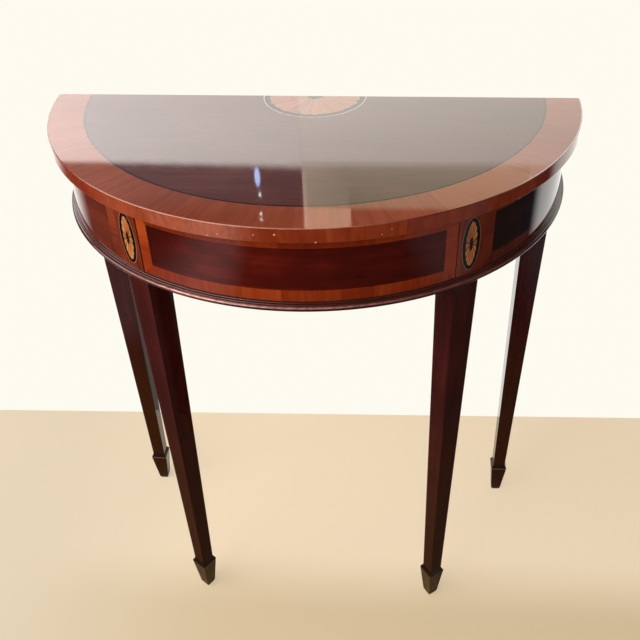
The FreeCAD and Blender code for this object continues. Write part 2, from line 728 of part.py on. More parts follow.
# The drawer: a bowed front, dovetailed sides and back, and a bottom let into grooves
def drawer_side_outline():
    """List the corners of a drawer side, seen from its right: depth and height, with its dovetails."""
    pitch = f"(drawer_back_top - bottom_top - 2 * tail_margin) / {DRAWER_TAILS}"
    levels = [f"bottom_top + tail_margin + {count + 1 / 2} * {pitch}" for count in range(DRAWER_TAILS)]
    root = f"{TAIL_ROOT_SHARE / 2} * {pitch}"
    front_tip = f"({root} + {TAIL_SLOPE_SHARE} * tail_length)"
    back_tip = f"({root} + {TAIL_SLOPE_SHARE} * drawer_back_thickness)"
    front, front_end = "-side_front", "-side_front - tail_length"
    back, back_end = "-drawer_back_front", "-drawer_rear"
    front_tails = []
    for level in reversed(levels):
        front_tails += [(front, f"{level} + {root}"), (front_end, f"{level} + {front_tip}"),
                        (front_end, f"{level} - {front_tip}"), (front, f"{level} - {root}")]
    back_tails = []
    for level in levels:
        back_tails += [(back, f"{level} - {root}"), (back_end, f"{level} - {back_tip}"),
                       (back_end, f"{level} + {back_tip}"), (back, f"{level} + {root}")]
    return [(front, "side_bottom"), (back_end, "side_bottom"), (back_end, "bottom_top"), (back, "bottom_top"),
            *back_tails, (back, "side_top"), (front, "side_top"), *front_tails]


bottom_box = box("drawer_bottom_box", ("-side_inner - groove_depth", "-top_radius", "bottom_underside"),
                 ("2 * (side_inner + groove_depth)", "top_radius - drawer_rear", "drawer_bottom_thickness"))
bottom_round = cylinder("drawer_bottom_round", "drawer_inner + groove_depth", "bottom_underside - overrun",
                        "drawer_bottom_thickness + 2 * overrun")
bottom = common("drawer_bottom_panel", bottom_box, bottom_round)
pins = group("drawer_bottom_screws", [
    screw(f"drawer_bottom_screw_{count}", f"{share} * side_inner", "-(drawer_rear + drawer_back_front) / 2",
          "bottom_underside", "pin_radius", "pin_head_radius", "pin_head_height", "pin_length")
    for count, share in enumerate(PIN_SHARES)])
node(pins)
node(cut("drawer_bottom", bottom, pins))

side_boards = []
for side, sign in SIDES:
    body, sketch = body_with_outline(f"{side}_side_board", "YZ_Plane", drawer_side_outline())
    pad = body.newObject("PartDesign::Pad", f"{side}_side_pad")
    pad.Profile = sketch
    bind(pad, {"Length": "drawer_side_thickness"})
    place(body, "side_inner" if sign > 0 else "-side_outer", "0", "0")
    side_boards.append(body)
    node(cut(f"drawer_{side}_side", body, bottom))

back_board = box("drawer_back_board", ("-side_outer", "-drawer_back_front", "bottom_top"),
                 ("2 * side_outer", "drawer_back_thickness", "drawer_back_top - bottom_top"))
node(cut("drawer_back", back_board, *side_boards, pins))

FRONT_HEIGHT = ("drawer_front_bottom", "drawer_front_height")
front_bar = ring("drawer_front_blank", "drawer_inner", "core_radius", *FRONT_SPAN, *FRONT_HEIGHT)
node(cut("drawer_front", front_bar, *drawer_ends.values(), *side_boards, bottom))
PANEL_ANGLE = "drawer_angle - banding_angle"
panel = node(ring("drawer_front_panel", "core_radius", "frieze_radius", f"-({PANEL_ANGLE})", PANEL_ANGLE,
                  "panel_bottom", "panel_height"))
face = ring("drawer_front_face", "core_radius", "frieze_radius", *FRONT_SPAN, *FRONT_HEIGHT)
node(cut("drawer_front_crossbanding", face, *drawer_ends.values(), panel))


# What carries and steadies the drawer: runners, guides, kickers above, and stops behind the front
for side, sign in SIDES:
    length = "bottom_rail_inner * cos(leg_angle) + bottom_rail_width / 2 - back_rail_front"
    runner = box(f"{side}_runner_bar", ("runner_inner", f"-back_rail_front - ({length})", "frieze_bottom"),
                 ("guide_outer - runner_inner", length, "moulding_height"), sign)
    node(cut(f"{side}_drawer_runner", runner, bottom_bar, front_blocks[side]))
    node(box(f"{side}_drawer_guide", ("guide_inner", "-guide_front", "face_bottom"),
             ("guide_width", "guide_front - back_rail_front", "guide_height"), sign))
    length = f"{KICKER_LENGTH} + top_rail_width / 2"
    kicker = box(f"{side}_kicker_bar", ("runner_inner", f"-back_rail_front - ({length})", "rail_bottom"),
                 ("guide_outer - runner_inner", length, "top_rail_height"), sign)
    node(cut(f"{side}_kicker", kicker, top_bar, front_blocks[side], top_screw_group))
node(group("drawer_stops", [
    side_ring(f"{side}_drawer_stop", sign, "drawer_inner - stop_gap - stop_width", "drawer_inner - stop_gap",
              "stop_angle", "stop_angle + stop_sweep", "face_bottom", "stop_height")
    for side, sign in SIDES]))


# Glue blocks in the corner between the top and the aprons and back rail
def curved_glue_block(label, sign, share):
    """Make a three-cornered block that fits the hollow of an apron."""
    start = f"(leg_angle + 2 * block_angle) * {1 - share} + (apron_end_angle - 2 * banding_angle) * {share}"
    start = f"{start} - glue_block_sweep / 2"
    turn = start if sign > 0 else f"-({start}) - glue_block_sweep"
    stock = cylinder(f"{label}_stock", "apron_inner", "under_top - glue_block", "glue_block",
                     "glue_block_sweep", f"{turn} - {QUARTER_TURN}")
    slope = doc.addObject("Part::Cone", f"{label}_slope")
    bind(slope, {"Radius1": "apron_inner - glue_block_edge", "Radius2": "apron_inner - glue_block",
                 "Height": "glue_block"})
    place(slope, "0", "0", "under_top - glue_block")
    return cut(label, stock, slope)


def straight_glue_block(label, middle):
    """Make a three-cornered block for the back rail, with its middle at a distance from the table's."""
    block = doc.addObject("Part::Wedge", label)
    bind(block, {
        "Xmin": "0", "Xmax": "glue_block_length", "X2min": "0", "X2max": "glue_block_length",
        "Ymin": "0", "Ymax": "glue_block",
        "Zmin": "glue_block - glue_block_edge", "Zmax": "glue_block", "Z2min": "0", "Z2max": "glue_block"})
    place(block, f"{middle} - glue_block_length / 2", "-back_rail_front - glue_block",
          "under_top - glue_block")
    return block


blocks = [curved_glue_block(f"{side}_glue_block_{count}", sign, share)
          for side, sign in SIDES for count, share in enumerate(GLUE_BLOCK_SHARES)]
BACK_BLOCK_X = "(guide_outer + rear_block_inner) / 2"
blocks += [straight_glue_block(f"back_glue_block_{number}", f"{number} * {BACK_BLOCK_X}")
           for number in (-1, 0, 1)]
node(group("glue_blocks", blocks))


# Build everything, make sure of it, and write one file for each piece
doc.recompute()
failed = [item.Label for item in doc.Objects if {"Invalid", "Error"} & set(item.State)]
for item in nodes:
    if item.Shape.isNull() or not item.Shape.isValid() or not item.Shape.Solids:
        failed.append(item.Label)
if failed:
    raise RuntimeError(f"these did not build: {failed}")
os.makedirs("parts", exist_ok=True)
for item in nodes:
    solids = item.Shape.Solids
    shape = solids[0] if len(solids) == 1 else item.Shape
    shape.exportStep(f"parts/{item.Label}.step")
    print(f"{item.Label}: {len(solids)} solids, {item.Shape.Volume:.1f} mm3")
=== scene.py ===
"""Looks of the demilune table: polished veneers, inlay, plain carcass woods and the room it stands in."""

from __future__ import annotations

import logging
import math
from dataclasses import dataclass, replace
from enum import Enum
from typing import Any, Callable, Mapping, Sequence, Union

import bpy
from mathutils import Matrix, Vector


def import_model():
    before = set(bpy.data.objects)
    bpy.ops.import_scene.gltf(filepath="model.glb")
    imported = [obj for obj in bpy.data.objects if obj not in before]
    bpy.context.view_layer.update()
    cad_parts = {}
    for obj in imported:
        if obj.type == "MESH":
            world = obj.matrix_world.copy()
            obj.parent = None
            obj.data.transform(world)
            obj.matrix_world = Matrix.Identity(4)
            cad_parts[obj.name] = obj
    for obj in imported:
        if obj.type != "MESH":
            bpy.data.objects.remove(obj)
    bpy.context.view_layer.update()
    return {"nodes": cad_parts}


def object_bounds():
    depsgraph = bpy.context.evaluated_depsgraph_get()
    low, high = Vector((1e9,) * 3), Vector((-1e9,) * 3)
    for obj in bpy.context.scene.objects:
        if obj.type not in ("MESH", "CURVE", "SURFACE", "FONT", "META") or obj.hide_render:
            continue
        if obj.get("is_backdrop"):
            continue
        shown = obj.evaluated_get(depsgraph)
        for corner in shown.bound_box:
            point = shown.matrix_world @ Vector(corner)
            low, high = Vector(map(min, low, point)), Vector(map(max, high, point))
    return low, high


LOG = logging.getLogger("demilune_table")
SIDES = ("left", "right")

Colour = tuple[float, float, float]
Point = tuple[float, float, float]
Span = tuple[float, ...]
Number = Union[float, "Value"]
Tints = list[tuple[Number, Colour]]
Socket = bpy.types.NodeSocket
Material = bpy.types.Material


def operator(operation: str, swapped: bool = False) -> Callable[..., Value]:
    """Make a method that adds a Math node.

    Args:
        operation: What the node does.
        swapped: Whether the wrapped number comes last.

    Returns:
        The method.
    """

    def method(self: Value, *others: Number) -> Value:
        """Work the number out."""
        return self.shade.math(operation, *((*others, self) if swapped else (self, *others)))

    return method


class Value:
    """A number that changes over a surface, written with Python's operators."""

    __add__ = __radd__ = operator("ADD")
    __sub__ = operator("SUBTRACT")
    __rsub__ = operator("SUBTRACT", swapped=True)
    __mul__ = __rmul__ = operator("MULTIPLY")
    __truediv__ = operator("DIVIDE")
    __abs__ = operator("ABSOLUTE")
    floor = operator("FLOOR")
    fract = operator("FRACT")
    sine = operator("SINE")
    root = operator("SQRT")
    least = operator("MINIMUM")
    most = operator("MAXIMUM")

    def __init__(self, shade: Shade, socket: Socket) -> None:
        """Wrap a socket of a material that is being made."""
        self.shade = shade
        self.socket = socket

    def rise(self, low: float, high: float) -> Value:
        """Go smoothly from 0 at low to 1 at high, or fall where low is above high.

        Args:
            low: Where the result is 0.
            high: Where the result is 1.

        Returns:
            A mask from 0 to 1.
        """
        sockets = {"Value": self, "From Min": low, "From Max": high}
        node = self.shade.add("ShaderNodeMapRange", {"interpolation_type": "SMOOTHSTEP"}, sockets)
        return Value(self.shade, node.outputs[0])


@dataclass(frozen=True)
class Mask:
    """Where something shows along a measure: it rises over two points and, where there are four, falls again."""

    span: Span
    high: float = 1.0
    low: float = 0.0

    def over(self, measure: Value) -> Value:
        """Mask a measure.

        Args:
            measure: A distance, an angle or a pattern.

        Returns:
            The low value outside the span and the high value inside it.
        """
        start, full, *fall = self.span
        mask = measure.rise(start, full)
        if fall:
            mask = mask * measure.rise(*reversed(fall))
        return mask * (self.high - self.low) + self.low


class Shade:
    """A material or a world in the making, and the one place that adds its nodes."""

    def __init__(self, name: str, world: bool = False) -> None:
        """Start it empty.

        Args:
            name: Its name.
            world: Whether it is a world.
        """
        self.owner = (bpy.data.worlds if world else bpy.data.materials).new(name)
        self.end = "ShaderNodeOutputWorld" if world else "ShaderNodeOutputMaterial"
        self.owner.use_nodes = True
        self.tree = self.owner.node_tree
        self.tree.nodes.clear()
        self.place = self.add("ShaderNodeTexCoord").outputs["Object"]

    def add(
        self, kind: str, settings: Mapping[str, Any] | None = None, sockets: Mapping[Any, Any] | None = None
    ) -> bpy.types.Node:
        """Add any node.

        Args:
            kind: The node's type.
            settings: Its properties, set first.
            sockets: The value or link of each input, by name or number.

        Returns:
            The new node.
        """
        node = self.tree.nodes.new(kind)
        for key, setting in (settings or {}).items():
            setattr(node, key, setting)
        for key, given in (sockets or {}).items():
            target = node.inputs[key]
            if isinstance(given, Value):
                given = given.socket
            if isinstance(given, Socket):
                self.tree.links.new(given, target)
            elif target.type == "RGBA":
                target.default_value = (*given[:3], 1.0)
            else:
                target.default_value = given
        return node

    def math(self, operation: str, *terms: Number) -> Value:
        """Add a Math node on numbers, at least one of which is a Value."""
        node = self.add("ShaderNodeMath", {"operation": operation}, dict(enumerate(terms)))
        return Value(self, node.outputs[0])

    def axes(self) -> tuple[Value, Value, Value]:
        """Give the place on the object as three numbers in metres."""
        node = self.add("ShaderNodeSeparateXYZ", sockets={0: self.place})
        return tuple(Value(self, output) for output in node.outputs)

    def vector(self, x: Number, y: Number, z: Number) -> Socket:
        """Join three numbers to a vector."""
        return self.add("ShaderNodeCombineXYZ", sockets={0: x, 1: y, 2: z}).outputs[0]

    def noise(self, vector: Socket, scale: float = 1.0, detail: float = 2.0) -> Value:
        """Give a soft random pattern from 0 to 1: where to read it, its scale and its finer layers."""
        node = self.add("ShaderNodeTexNoise", sockets={"Vector": vector, "Scale": scale, "Detail": detail})
        return Value(self, node.outputs[0])

    def random(self, number: Value) -> Value:
        """Give each number its own random value from 0 to 1."""
        node = self.add("ShaderNodeTexWhiteNoise", {"noise_dimensions": "1D"}, {"W": number})
        return Value(self, node.outputs[0])

    def ramp(self, value: Value, places: Sequence[float], colours: Sequence[Colour]) -> Socket:
        """Turn a number into a colour.

        Args:
            value: The number.
            places: The numbers at which the colours stand.
            colours: The colour at each place.

        Returns:
            The colour between them.
        """
        node = self.add("ShaderNodeValToRGB", sockets={0: value})
        elements = node.color_ramp.elements
        while len(elements) < len(places):
            elements.new(1.0)
        for element, place, colour in zip(elements, places, colours):
            element.position = place
            element.color = (*colour, 1.0)
        return node.outputs[0]

    def mix(self, factor: Number, first: Any, second: Any) -> Socket:
        """Mix two colours or their sockets, with the second where the factor is 1."""
        node = self.add("ShaderNodeMix", {"data_type": "RGBA"}, {0: factor, 6: first, 7: second})
        return node.outputs[2]

    def tint(self, colour: Any, tints: Tints) -> Any:
        """Lay colours over a colour.

        Args:
            colour: The colour below, or its socket.
            tints: The mask and colour of each one above it, in order.

        Returns:
            What shows.
        """
        for factor, above in tints:
            colour = self.mix(factor, colour, above)
        return colour

    def relief(self, height: Value) -> Socket:
        """Turn a height in metres into a normal."""
        return self.add("ShaderNodeBump", sockets={"Distance": 1.0, "Height": height}).outputs[0]

    def ray(self, kind: str) -> Value:
        """Give 1 where a kind of ray, such as Glossy, sees the surface."""
        return Value(self, self.add("ShaderNodeLightPath").outputs[f"Is {kind} Ray"])

    def shader(self, kind: str, colour: Any = None) -> Socket:
        """Add a plain shader, with its colour where it has one."""
        sockets = {} if colour is None else {"Color": colour}
        return self.add(f"ShaderNode{kind}", sockets=sockets).outputs[0]

    def blend(self, factor: Value, first: Socket, second: Socket) -> Socket:
        """Blend two shaders, with the second where the factor is 1."""
        return self.add("ShaderNodeMixShader", sockets={0: factor, 1: first, 2: second}).outputs[0]

    def surface(self, sockets: Mapping[str, Any]) -> Material:
        """End the material with one shader, given its values and links."""
        return self.close(self.add("ShaderNodeBsdfPrincipled", sockets=sockets).outputs[0])

    def close(self, shader: Socket) -> Any:
        """Link a shader to the output, and give the finished material or world."""
        self.add(self.end, sockets={"Surface": shader})
        return self.owner


@dataclass(frozen=True)
class Bow:
    """The half circle that the top and the frieze follow, in metres."""

    middle_y: float = 0.1843
    top_radius: float = 0.360
    frieze_radius: float = 0.345
    back_y: float = 0.1757
    top_z: float = 0.766

    def polar(self, shade: Shade) -> tuple[Value, Value, Value]:
        """Measure a place round the bow.

        Args:
            shade: The material that reads it.

        Returns:
            The radius, the angle from the front in radians, and the height.
        """
        x, y, z = shade.axes()
        forward = self.middle_y - y
        radius = (x * x + forward * forward).root()
        return radius, shade.math("ARCTAN2", x, forward), z


BOW = Bow()
LEFT_HALF = Mask((0.2, -0.2))


@dataclass(frozen=True)
class Lay:
    """How a veneer lies: its grain's directions in metres, its shift in tone and its joins."""

    along: Value
    across: Value
    depth: Number
    shift: Number = 0.0
    join: Number = 0.0

    def grain(self, shade: Shade, long: float, wide: float, detail: float = 2.0) -> Value:
        """Give a random pattern with so many marks a metre along and across the grain."""
        vector = shade.vector(self.along * long, self.across * wide, self.depth * wide)
        return shade.noise(vector, detail=detail)


@dataclass(frozen=True)
class Sections:
    """Short lengths of veneer laid end to end, each a little lighter or darker and cut from elsewhere."""

    length: float
    spread: float
    seed: float
    step: float
    join: float = 0.0005
    uneven: float = 0.3
    beat: float = 2.1

    def lay(self, shade: Shade, run: Value, along: Value, depth: Number, light: Number = 0.0) -> Lay:
        """Divide a run into sections.

        Args:
            shade: The material that reads it.
            run: The distance along the band in metres.
            along: The distance along the grain, which crosses the band.
            depth: The distance into the wood.
            light: How much lighter the veneer is there.

        Returns:
            How the veneer lies, with each section's start, shift in tone and joins.
        """
        count = run / self.length + self.seed
        count = count + self.uneven * (count * self.beat).sine()
        part = count.fract()
        number = count.floor()
        shift = (shade.random(number) - 0.5) * self.spread + light
        edge = part.least(1.0 - part) * self.length
        return Lay(along + number * self.step, run, depth, shift, edge.rise(self.join, 0.0))


@dataclass(frozen=True)
class Figure:
    """The marks of a wood: soft clouds, long streaks and short dark pores, in marks a metre."""

    bend: Span = (7.0, 11.0)
    waver: float = 0.006
    cloud: float = 14.0
    cloud_narrow: float = 2.0
    cloud_share: float = 0.45
    streaks: float = 150.0
    stretch: float = 0.05
    pores: float = 1000.0
    pore_stretch: float = 0.05
    pore_start: float = 0.57
    pore_full: float = 0.72
    contrast: float = 1.5

    def draw(self, shade: Shade, lay: Lay) -> tuple[Value, Value]:
        """Draw the marks.

        Args:
            shade: The material that reads them.
            lay: How the wood lies.

        Returns:
            The tone from about 0 to 1, and a mask of the pores.
        """
        bend = lay.grain(shade, *self.bend, detail=1.0)
        lay = replace(lay, across=lay.across + (bend - 0.5) * self.waver)
        across = lay.across * self.cloud * self.cloud_narrow
        cloud = shade.noise(shade.vector(lay.along * self.cloud, across, lay.depth * self.cloud))
        streak = lay.grain(shade, self.streaks * self.stretch, self.streaks, detail=4.0)
        tone = cloud * self.cloud_share + streak * (1.0 - self.cloud_share)
        tone = (tone - 0.5) * self.contrast + 0.5 + lay.shift
        pore = lay.grain(shade, self.pores * self.pore_stretch, self.pores, detail=1.0)
        return tone, pore.rise(self.pore_start, self.pore_full)


@dataclass(frozen=True)
class Polish:
    """A clear polish, a little uneven, over a wood."""

    roughness: float = 0.025
    smear: float = 0.035
    smear_scale: float = 22.0
    worn: float = 0.3
    ior: float = 1.5
    ripple: float = 0.000012
    ripple_scale: float = 16.0
    pore_depth: float = 0.000004

    def over(self, shade: Shade, colour: Socket, pores: Value, wear: Number = 0.0) -> Material:
        """Close a material with this polish.

        Args:
            shade: The material.
            colour: The wood's colour.
            pores: A mask of the pores, which sink a little.
            wear: A mask of where the polish is rubbed dull.

        Returns:
            The material.
        """
        smear = shade.noise(shade.place, self.smear_scale, detail=3.0)
        ripple = shade.noise(shade.place, self.ripple_scale, detail=1.0)
        height = ripple * self.ripple - pores * self.pore_depth
        return shade.surface(
            {
                "Base Color": colour,
                "Roughness": smear * self.smear + self.roughness + wear * self.worn,
                "IOR": self.ior,
                "Normal": shade.relief(height),
            }
        )


@dataclass(frozen=True)
class Veneer:
    """A polished wood with its colours from dark to light."""

    name: str
    dark: Colour
    middle: Colour
    light: Colour
    figure: Figure = Figure()
    polish: Polish = Polish()
    # the colour of pores and joins, also used for painted shade on the top's edge, the moulding and the feet's
    # ledges
    pore_colour: Colour = (0.012, 0.004, 0.003)
    pore_share: float = 0.35
    join_share: float = 0.45
    stops: Span = (0.12, 0.5, 0.88)

    def lay(self, shade: Shade) -> Lay:
        """Lay the grain from side to side."""
        return Lay(*shade.axes())

    def mark(self, shade: Shade) -> tuple[Tints, Number]:
        """Give the tints of wear and a mask of the dull places: none here."""
        return [], 0.0

    def make(self) -> Material:
        """Make the material.

        Returns:
            The material.
        """
        shade = Shade(self.name)
        lay = self.lay(shade)
        tone, pores = self.figure.draw(shade, lay)
        wood = shade.ramp(tone, self.stops, (self.dark, self.middle, self.light))
        ink = [(pores * self.pore_share, self.pore_colour), (lay.join * self.join_share, self.pore_colour)]
        tints, wear = self.mark(shade)
        return self.polish.over(shade, shade.tint(wood, ink + tints), pores, wear)


@dataclass(frozen=True)
class TopBanding(Veneer):
    """The band round the top, with its grain pointing to the middle of the bow."""

    sections: Sections = Sections(0.093, 0.22, 0.4, 0.37)
    corners: tuple[Mask, Mask] = (Mask((-0.45, -0.75), 0.16), Mask((0.0, 0.5, 0.8, 1.3), 0.32))

    def lay(self, shade: Shade) -> Lay:
        """Lay the grain across the band, in sections that are lighter at the front corners.

        Args:
            shade: The material.

        Returns:
            How the veneer lies.
        """
        radius, turn, height = BOW.polar(shade)
        light = sum(corner.over(turn) for corner in self.corners)
        return self.sections.lay(shade, turn * BOW.top_radius, radius, height, light)


@dataclass(frozen=True)
class Ding:
    """A small knock in the edge of the top: its angle, its height, its size and the share that is bare."""

    turn: float
    height: float
    size: float
    bare_share: float = 0.4

    def mask(self, turn: Value, height: Value, patchy: Value) -> Value:
        """Mask the knock.

        Args:
            turn: The angle round the bow.
            height: The height.
            patchy: A pattern that breaks up its rim.

        Returns:
            A mask, 1 where the wood is bare.
        """
        side = (turn - self.turn) * BOW.top_radius
        rise = height - self.height
        reach = (side * side + rise * rise).root() + (patchy - 0.5) * self.size
        return reach.rise(self.size, self.bare_share * self.size)


@dataclass(frozen=True)
class TopEdge(Veneer):
    """The veneer round the edge of the top, upright in short sections, with painted light at its left front, and
    wear with painted highlight and shade at its upper corner.
    """

    sections: Sections = Sections(0.064, 0.17, 1.7, 0.41)
    patches: Span = (60.0, 100.0)
    corner: Mask = Mask((BOW.top_z - 0.0008, BOW.top_z - 0.0003))
    # painted light: the left front of the edge is paler where the light falls on it
    bloom: Colour = (0.45, 0.15, 0.085)
    bloom_along: Mask = Mask((-0.52, -0.40, -0.20, -0.05))
    faint_along: Mask = Mask((-0.75, -0.60, -0.52, -0.40), 0.45)
    bloom_least: float = 0.05
    bloom_patchy: float = 0.6
    # pale worn wood on the upper corner, partly a painted highlight where the light falls at the left and the front
    worn: Colour = (0.72, 0.40, 0.32)
    worn_along: Mask = Mask((-0.95, -0.6, -0.15, 0.45), 0.6)
    # painted shade: a dark line along the upper corner on the right
    dark_along: Mask = Mask((0.25, 0.5, 0.6, 0.75), 0.6)
    # painted highlight: a pale line along the upper corner at the far right
    glint: Colour = (0.75, 0.66, 0.64)
    glint_along: Mask = Mask((0.65, 0.9), 0.8)
    chip: Colour = (0.7, 0.46, 0.36)
    chip_share: float = 0.8
    dings: tuple[Ding, ...] = (
        Ding(-0.2466, 0.7500, 0.0010),
        Ding(-0.2132, 0.7534, 0.0008),
        Ding(-0.1013, 0.7568, 0.0010),
        Ding(-0.0386, 0.7583, 0.0016),
        Ding(0.0816, 0.7492, 0.0013),
        Ding(0.2784, 0.7528, 0.0009),
        Ding(0.3086, 0.7579, 0.0007),
    )

    def lay(self, shade: Shade) -> Lay:
        """Lay the grain upright, in sections."""
        _, turn, height = BOW.polar(shade)
        return self.sections.lay(shade, turn * BOW.top_radius, height, 0.0)

    def mark(self, shade: Shade) -> tuple[Tints, Number]:
        """Paint light on the left front, wear and painted highlight and shade on the upper corner, and chip the
        knocks.

        Args:
            shade: The material.

        Returns:
            The tints, and a mask of the dull places.
        """
        _, turn, height = BOW.polar(shade)
        patchy = Lay(turn, height, 0.0).grain(shade, *self.patches, detail=3.0)
        corner = self.corner.over(height)
        painted_light_mask = self.bloom_along.over(turn).most(self.faint_along.over(turn))
        chips = sum(ding.mask(turn, height, patchy) for ding in self.dings).least(1.0)
        # painted light, then wear with a painted highlight, painted shade and a painted highlight along the upper
        # corner, then the real knocks
        tints: Tints = [
            (painted_light_mask * (patchy * self.bloom_patchy + self.bloom_least), self.bloom),
            (corner * (patchy * 0.5 + 0.5) * self.worn_along.over(turn), self.worn),
            (corner * self.dark_along.over(turn), self.pore_colour),
            (corner * self.glint_along.over(turn), self.glint),
            (chips * self.chip_share, self.chip),
        ]
        return tints, chips


@dataclass(frozen=True)
class FriezePanel(Veneer):
    """A deep red panel of the frieze, with its grain round the bow and its tone drifting along it."""

    figure: Figure = Figure(cloud=22.0, cloud_share=0.6, contrast=1.2)
    polish: Polish = Polish(pore_depth=0.000001)
    pore_share: float = 0.12
    drift: float = 0.0
    end_turn: float = -0.25
    end_drift: float = 5.0

    def lay(self, shade: Shade) -> Lay:
        """Lay the grain round the bow, with the drift turned back past the end turn to the left.

        Args:
            shade: The material.

        Returns:
            How the veneer lies.
        """
        _, turn, height = BOW.polar(shade)
        drift = (turn + (self.end_turn - turn).most(0.0) * self.end_drift) * self.drift
        return Lay(turn * BOW.frieze_radius, height, 0.0, drift)


@dataclass(frozen=True)
class Seam:
    """The dark gap at the left end of the drawer: its angle from the front, and its edge in metres."""

    turn: float
    edge: Mask

    def mask(self, turn: Value) -> Value:
        """Mask the gap by the angle round the bow, on the left alone."""
        return self.edge.over((abs(turn) - self.turn) * BOW.frieze_radius) * LEFT_HALF.over(turn)


@dataclass(frozen=True)
class FriezeBanding(Veneer):
    """The band round a panel of the frieze: its grain crosses the band, and its corners are mitred."""

    figure: Figure = Figure(contrast=1.0)
    pore_share: float = 0.2
    sections: Sections = Sections(0.066, 0.3, 0.9, 0.29)
    panel_from: float = -0.5175
    panel_to: float = 0.5175
    panel_foot: float = 0.6766
    panel_head: float = 0.732
    beside: Mask = Mask((-0.0001, 0.0001))
    mitre: Mask = Mask((0.0005, 0.0001), 0.25)
    mitre_out: Mask = Mask((0.0, 0.001))
    under_soft: float = 0.001
    under_step: float = 0.83
    # painted light: a paler patch high on the band's uprights on the left, standing in for light thrown back onto
    # them
    end_light: Mask = Mask((0.69, 0.735), 0.5)
    end_least: float = 0.05
    pale: Mask = Mask((-0.42, -0.32, 0.158, 0.162), 0.18)
    dull: Mask = Mask((0.355, 0.359), 0.1)
    seam: Seam | None = None

    def lay(self, shade: Shade) -> Lay:
        """Lay the grain upright over and under the panel, and level beside it.

        Args:
            shade: The material.

        Returns:
            How the veneer lies.
        """
        _, turn, height = BOW.polar(shade)
        run = turn * BOW.frieze_radius
        cut = self.sections.lay(shade, run, height, 0.0)
        middle = (self.panel_from + self.panel_to) / 2.0
        half = (self.panel_to - self.panel_from) / 2.0
        past_end = (abs(abs(turn) - middle) - half) * BOW.frieze_radius
        centre = (self.panel_foot + self.panel_head) / 2.0
        past_side = abs(height - centre) - (self.panel_head - self.panel_foot) / 2.0
        beside = self.beside.over(past_end - past_side)
        mitre = self.mitre.over(abs(past_end - past_side)) * self.mitre_out.over(past_end)
        under = height.rise(centre + self.under_soft, centre - self.under_soft)
        level = 1.0 - beside
        along = cut.along * level + run * beside + under * self.under_step
        across = run * level + height * beside
        join = cut.join * level + mitre
        if self.seam:
            join = join + self.seam.mask(turn)
        # painted bounce light on the left, and a slight even lift in tone beside the panel
        lighter = LEFT_HALF.over(turn) * self.end_light.over(height) + self.end_least
        shift = cut.shift + (self.pale.over(turn) - self.dull.over(turn)) * under
        return Lay(along, across, 0.0, shift * level + beside * lighter, join)


@dataclass(frozen=True)
class UprightVeneer(Veneer):
    """A veneer on a leg's block, with its grain upright and a dark seam beside the drawer."""

    seam: Seam = Seam(math.radians(32.54), Mask((0.0008, 0.0003), 2.0))

    def lay(self, shade: Shade) -> Lay:
        """Lay the grain upright."""
        _, turn, height = BOW.polar(shade)
        return Lay(height, turn * BOW.frieze_radius, 0.0, 0.0, self.seam.mask(turn))


@dataclass(frozen=True)
class BentWood(Veneer):
    """A moulding bent round the bow, rubbed and given a painted highlight along its bead, with painted shade under
    it, and dull in its reeds.
    """

    patches: Span = (40.0, 300.0)
    # pale rubbed wood along the bead, partly a painted highlight, strongest at the left front where the light falls
    worn: Colour = (0.58, 0.27, 0.23)
    bead: Mask = Mask((0.6550, 0.6555, 0.6560, 0.6568))
    rub_along: tuple[Mask, ...] = (
        Mask((-0.70, -0.38)), Mask((0.6, -0.2), 1.0, 0.2), Mask((-0.50, -0.40, -0.24, -0.14), 1.7, 1.0)
    )
    rub_patchy: Mask = Mask((0.3, 0.7), 0.80, 0.25)
    # painted shade under the bead, weaker at the left front where the light falls
    underside: Mask = Mask((0.6550, 0.6540))
    underside_along: Mask = Mask((-0.72, -0.58, -0.35, -0.15), 0.25, 0.85)
    ends: Mask = Mask((0.75, 1.15), 0.7)
    reeds: Mask = Mask((0.6568, 0.6574))
    reed_share: float = 0.5
    reed_wear: float = 0.45

    def lay(self, shade: Shade) -> Lay:
        """Lay the grain round the bow."""
        radius, turn, height = BOW.polar(shade)
        return Lay(turn * BOW.frieze_radius, height, radius)

    def mark(self, shade: Shade) -> tuple[Tints, Number]:
        """Wear the bead pale with a painted highlight, most at the left front, paint shade on the underside, and
        darken the ends and the reeds.

        Args:
            shade: The material.

        Returns:
            The tints, and a mask of the dull places.
        """
        _, turn, height = BOW.polar(shade)
        patchy = Lay(turn, height, 0.0).grain(shade, *self.patches, detail=3.0)
        rub_and_highlight = self.bead.over(height) * self.rub_patchy.over(patchy)
        rub_and_highlight = rub_and_highlight * math.prod(mask.over(turn) for mask in self.rub_along)
        reeds = self.reeds.over(height)
        # painted shade under the bead; the ends and the reeds are made darker as well
        dark = self.underside.over(height) * self.underside_along.over(turn)
        dark = dark.most(self.ends.over(abs(turn))).most(reeds * self.reed_share)
        return [(rub_and_highlight.least(1.0), self.worn), (dark, self.pore_colour)], reeds * self.reed_wear


